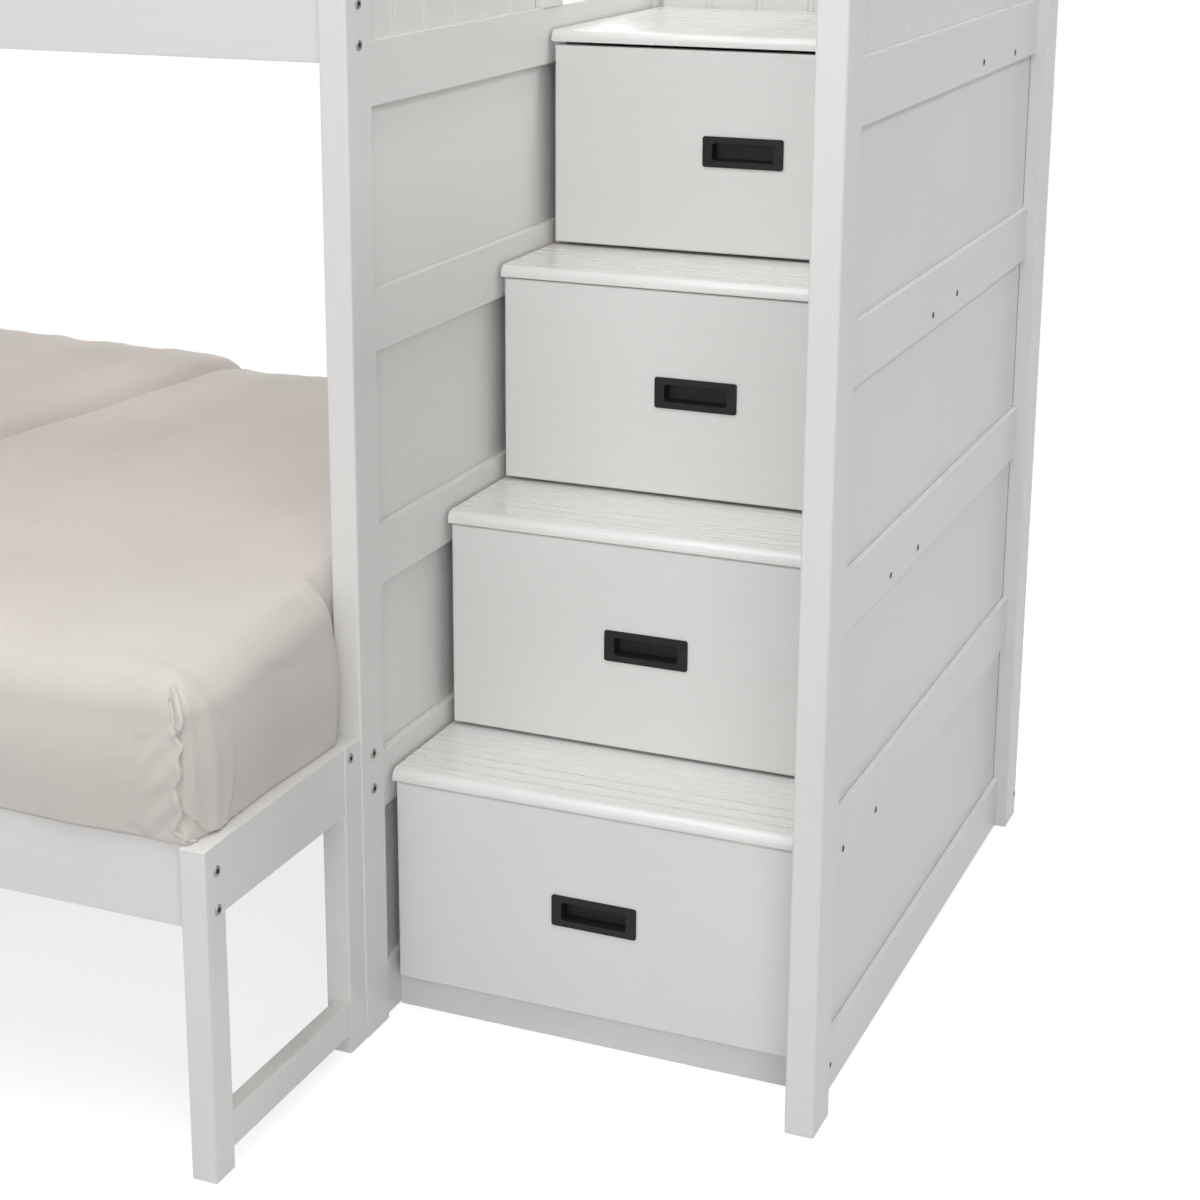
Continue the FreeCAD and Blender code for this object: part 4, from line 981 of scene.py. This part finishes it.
# ---------------------------------------------------------------- floor and light
WHITE = (1.0, 1.0, 1.0, 1.0)
FLOOR_SIZE = 14.0
FLOOR_DARK, FLOOR_LIGHT = (0.46, 0.46, 0.46), (0.50, 0.50, 0.50)
SHADOW_TONE = (0.34, 0.34, 0.34, 1.0)
FLOOR_GLOW = 0.78
FADE_START, FADE_END = 1.7, 3.2


def floor_material():
    """Pale floor that reads as white to the camera and still keeps the object's shadow."""
    s = Shader("studio_floor")
    grain = s.noise(s.coords, scale=5.0, detail=3.0)
    s.wire(Base_Color=s.two_tone(grain, FLOOR_DARK, FLOOR_LIGHT, start=0.2, end=0.8),
           Roughness=s.spread(grain, 0.75, 0.85))
    white = s.add("ShaderNodeEmission", Strength=1.0)
    shaded = s.add("ShaderNodeBsdfDiffuse", Color=SHADOW_TONE)
    glow = s.add("ShaderNodeEmission", Strength=FLOOR_GLOW)
    near = s.add("ShaderNodeAddShader")
    s.link(shaded.outputs[0], near.inputs[0])
    s.link(glow.outputs[0], near.inputs[1])
    # away from the object the floor fades into the white of the world behind it
    away = s.add("ShaderNodeVectorMath", operation="LENGTH")
    s.link(s.coords, away.inputs[0])
    fade = s.add("ShaderNodeMapRange", interpolation_type="SMOOTHSTEP", From_Min=FADE_START,
                 From_Max=FADE_END)
    s.link(away.outputs["Value"], fade.inputs["Value"])
    seen = s.mix_shaders(fade.outputs["Result"], near, white)
    ray = s.add("ShaderNodeLightPath").outputs
    direct = s.mix_shaders(ray["Is Camera Ray"], s.bsdf, seen)
    mirrored = s.maths("MAXIMUM", ray["Is Glossy Ray"], ray["Is Transmission Ray"])
    final = s.mix_shaders(mirrored, direct, white)
    s.link(final.outputs[0], s.tree.nodes["Material Output"].inputs["Surface"])
    return s.mat


def studio_floor():
    bm = bmesh.new()
    bmesh.ops.create_grid(bm, x_segments=8, y_segments=8, size=FLOOR_SIZE)
    mesh = bpy.data.meshes.new("floor")
    bm.to_mesh(mesh)
    bm.free()
    mesh.materials.append(floor_material())
    obj = bpy.data.objects.new("floor", mesh)
    bpy.context.scene.collection.objects.link(obj)


def world_light(ambient):
    """Even light from all around, which is white where the camera, a gloss or a glass sees it."""
    world = bpy.data.worlds.new("studio")
    world.use_nodes = True
    graph = Graph(world.node_tree)
    background = graph.tree.nodes["Background"]
    background.inputs["Color"].default_value = WHITE
    background.inputs["Strength"].default_value = ambient
    white = graph.add("ShaderNodeBackground", Color=WHITE, Strength=1.0)
    ray = graph.add("ShaderNodeLightPath").outputs
    seen = graph.maths("MAXIMUM", ray["Is Camera Ray"], ray["Is Transmission Ray"])
    seen = graph.maths("MAXIMUM", seen, ray["Is Glossy Ray"])
    final = graph.mix_shaders(seen, background, white)
    graph.link(final.outputs[0], graph.tree.nodes["World Output"].inputs["Surface"])
    bpy.context.scene.world = world


# Area lamps: place, what they face, width and height, power in watts.
LAMPS = {
    "overhead": ((0.2, -0.2, 8.2), (0.2, 0.0, 0.6), (7.2, 5.4), 190.0),
    "overhead_front": ((0.6, -2.2, 4.4), (0.6, 0.0, 0.6), (3.0, 2.0), 65.0),
    "front_right": ((3.2, -4.6, 2.4), (0.6, 0.0, 0.8), (3.0, 2.4), 99.0),
    "front_left": ((-0.3, -5.0, 1.3), (0.3, 0.0, 0.7), (3.0, 1.6), 23.0),
    "key": ((3.9, 0.8, 4.4), (1.2, 0.0, 0.8), (0.8, 0.8), 53.0),
    "back": ((-0.8, 4.2, 3.0), (-0.3, 0.0, 0.7), (2.5, 2.0), 84.0),
    "left": ((-4.6, -1.4, 2.2), (0.3, 0.0, 0.7), (2.4, 2.0), 24.0),
}
AMBIENT = 0.2


def softbox(name, spot, target, size, power):
    light = bpy.data.lights.new(name, "AREA")
    light.shape = "RECTANGLE"
    light.size, light.size_y = size
    light.energy = power
    obj = bpy.data.objects.new(name, light)
    bpy.context.scene.collection.objects.link(obj)
    obj.location = spot
    obj.rotation_euler = (Vector(target) - Vector(spot)).to_track_quat("-Z", "Y").to_euler()


studio_floor()
world_light(AMBIENT)
for lamp, values in LAMPS.items():
    softbox(lamp, *values)

# ---------------------------------------------------------------- camera
# The photograph is the lower right part of a wider picture: same eye point, tilted down with a small shift.
IMAGE = 1200.0
FOCAL_PIXELS = 2402.3
SENSOR = 36.0
EYE = Vector((2.05794, -2.89903, 1.58956))
YAW, PITCH, ROLL = math.radians(24.202), math.radians(15.213), math.radians(-0.184)


def photo_camera():
    camera = bpy.data.cameras.new("camera")
    camera.sensor_fit = "HORIZONTAL"
    camera.sensor_width = SENSOR
    camera.lens = FOCAL_PIXELS * SENSOR / IMAGE
    camera.shift_x, camera.shift_y = 0.0662, -0.12
    camera.clip_start, camera.clip_end = 0.1, 100.0
    across = Vector((math.cos(YAW), math.sin(YAW), 0.0))
    level = Vector((-math.sin(YAW), math.cos(YAW), 0.0))
    zenith = Vector((0.0, 0.0, 1.0))
    ahead = level * math.cos(PITCH) - zenith * math.sin(PITCH)
    upward = zenith * math.cos(PITCH) + level * math.sin(PITCH)
    right = across * math.cos(ROLL) + upward * math.sin(ROLL)
    upward = upward * math.cos(ROLL) - across * math.sin(ROLL)
    view = bpy.data.objects.new("camera", camera)
    bpy.context.scene.collection.objects.link(view)
    view.matrix_world = Matrix.Translation(EYE) @ Matrix((right, upward, -ahead)).transposed().to_4x4()
    return view


bpy.context.scene.camera = photo_camera()
bpy.context.scene.view_settings.view_transform = "Standard"
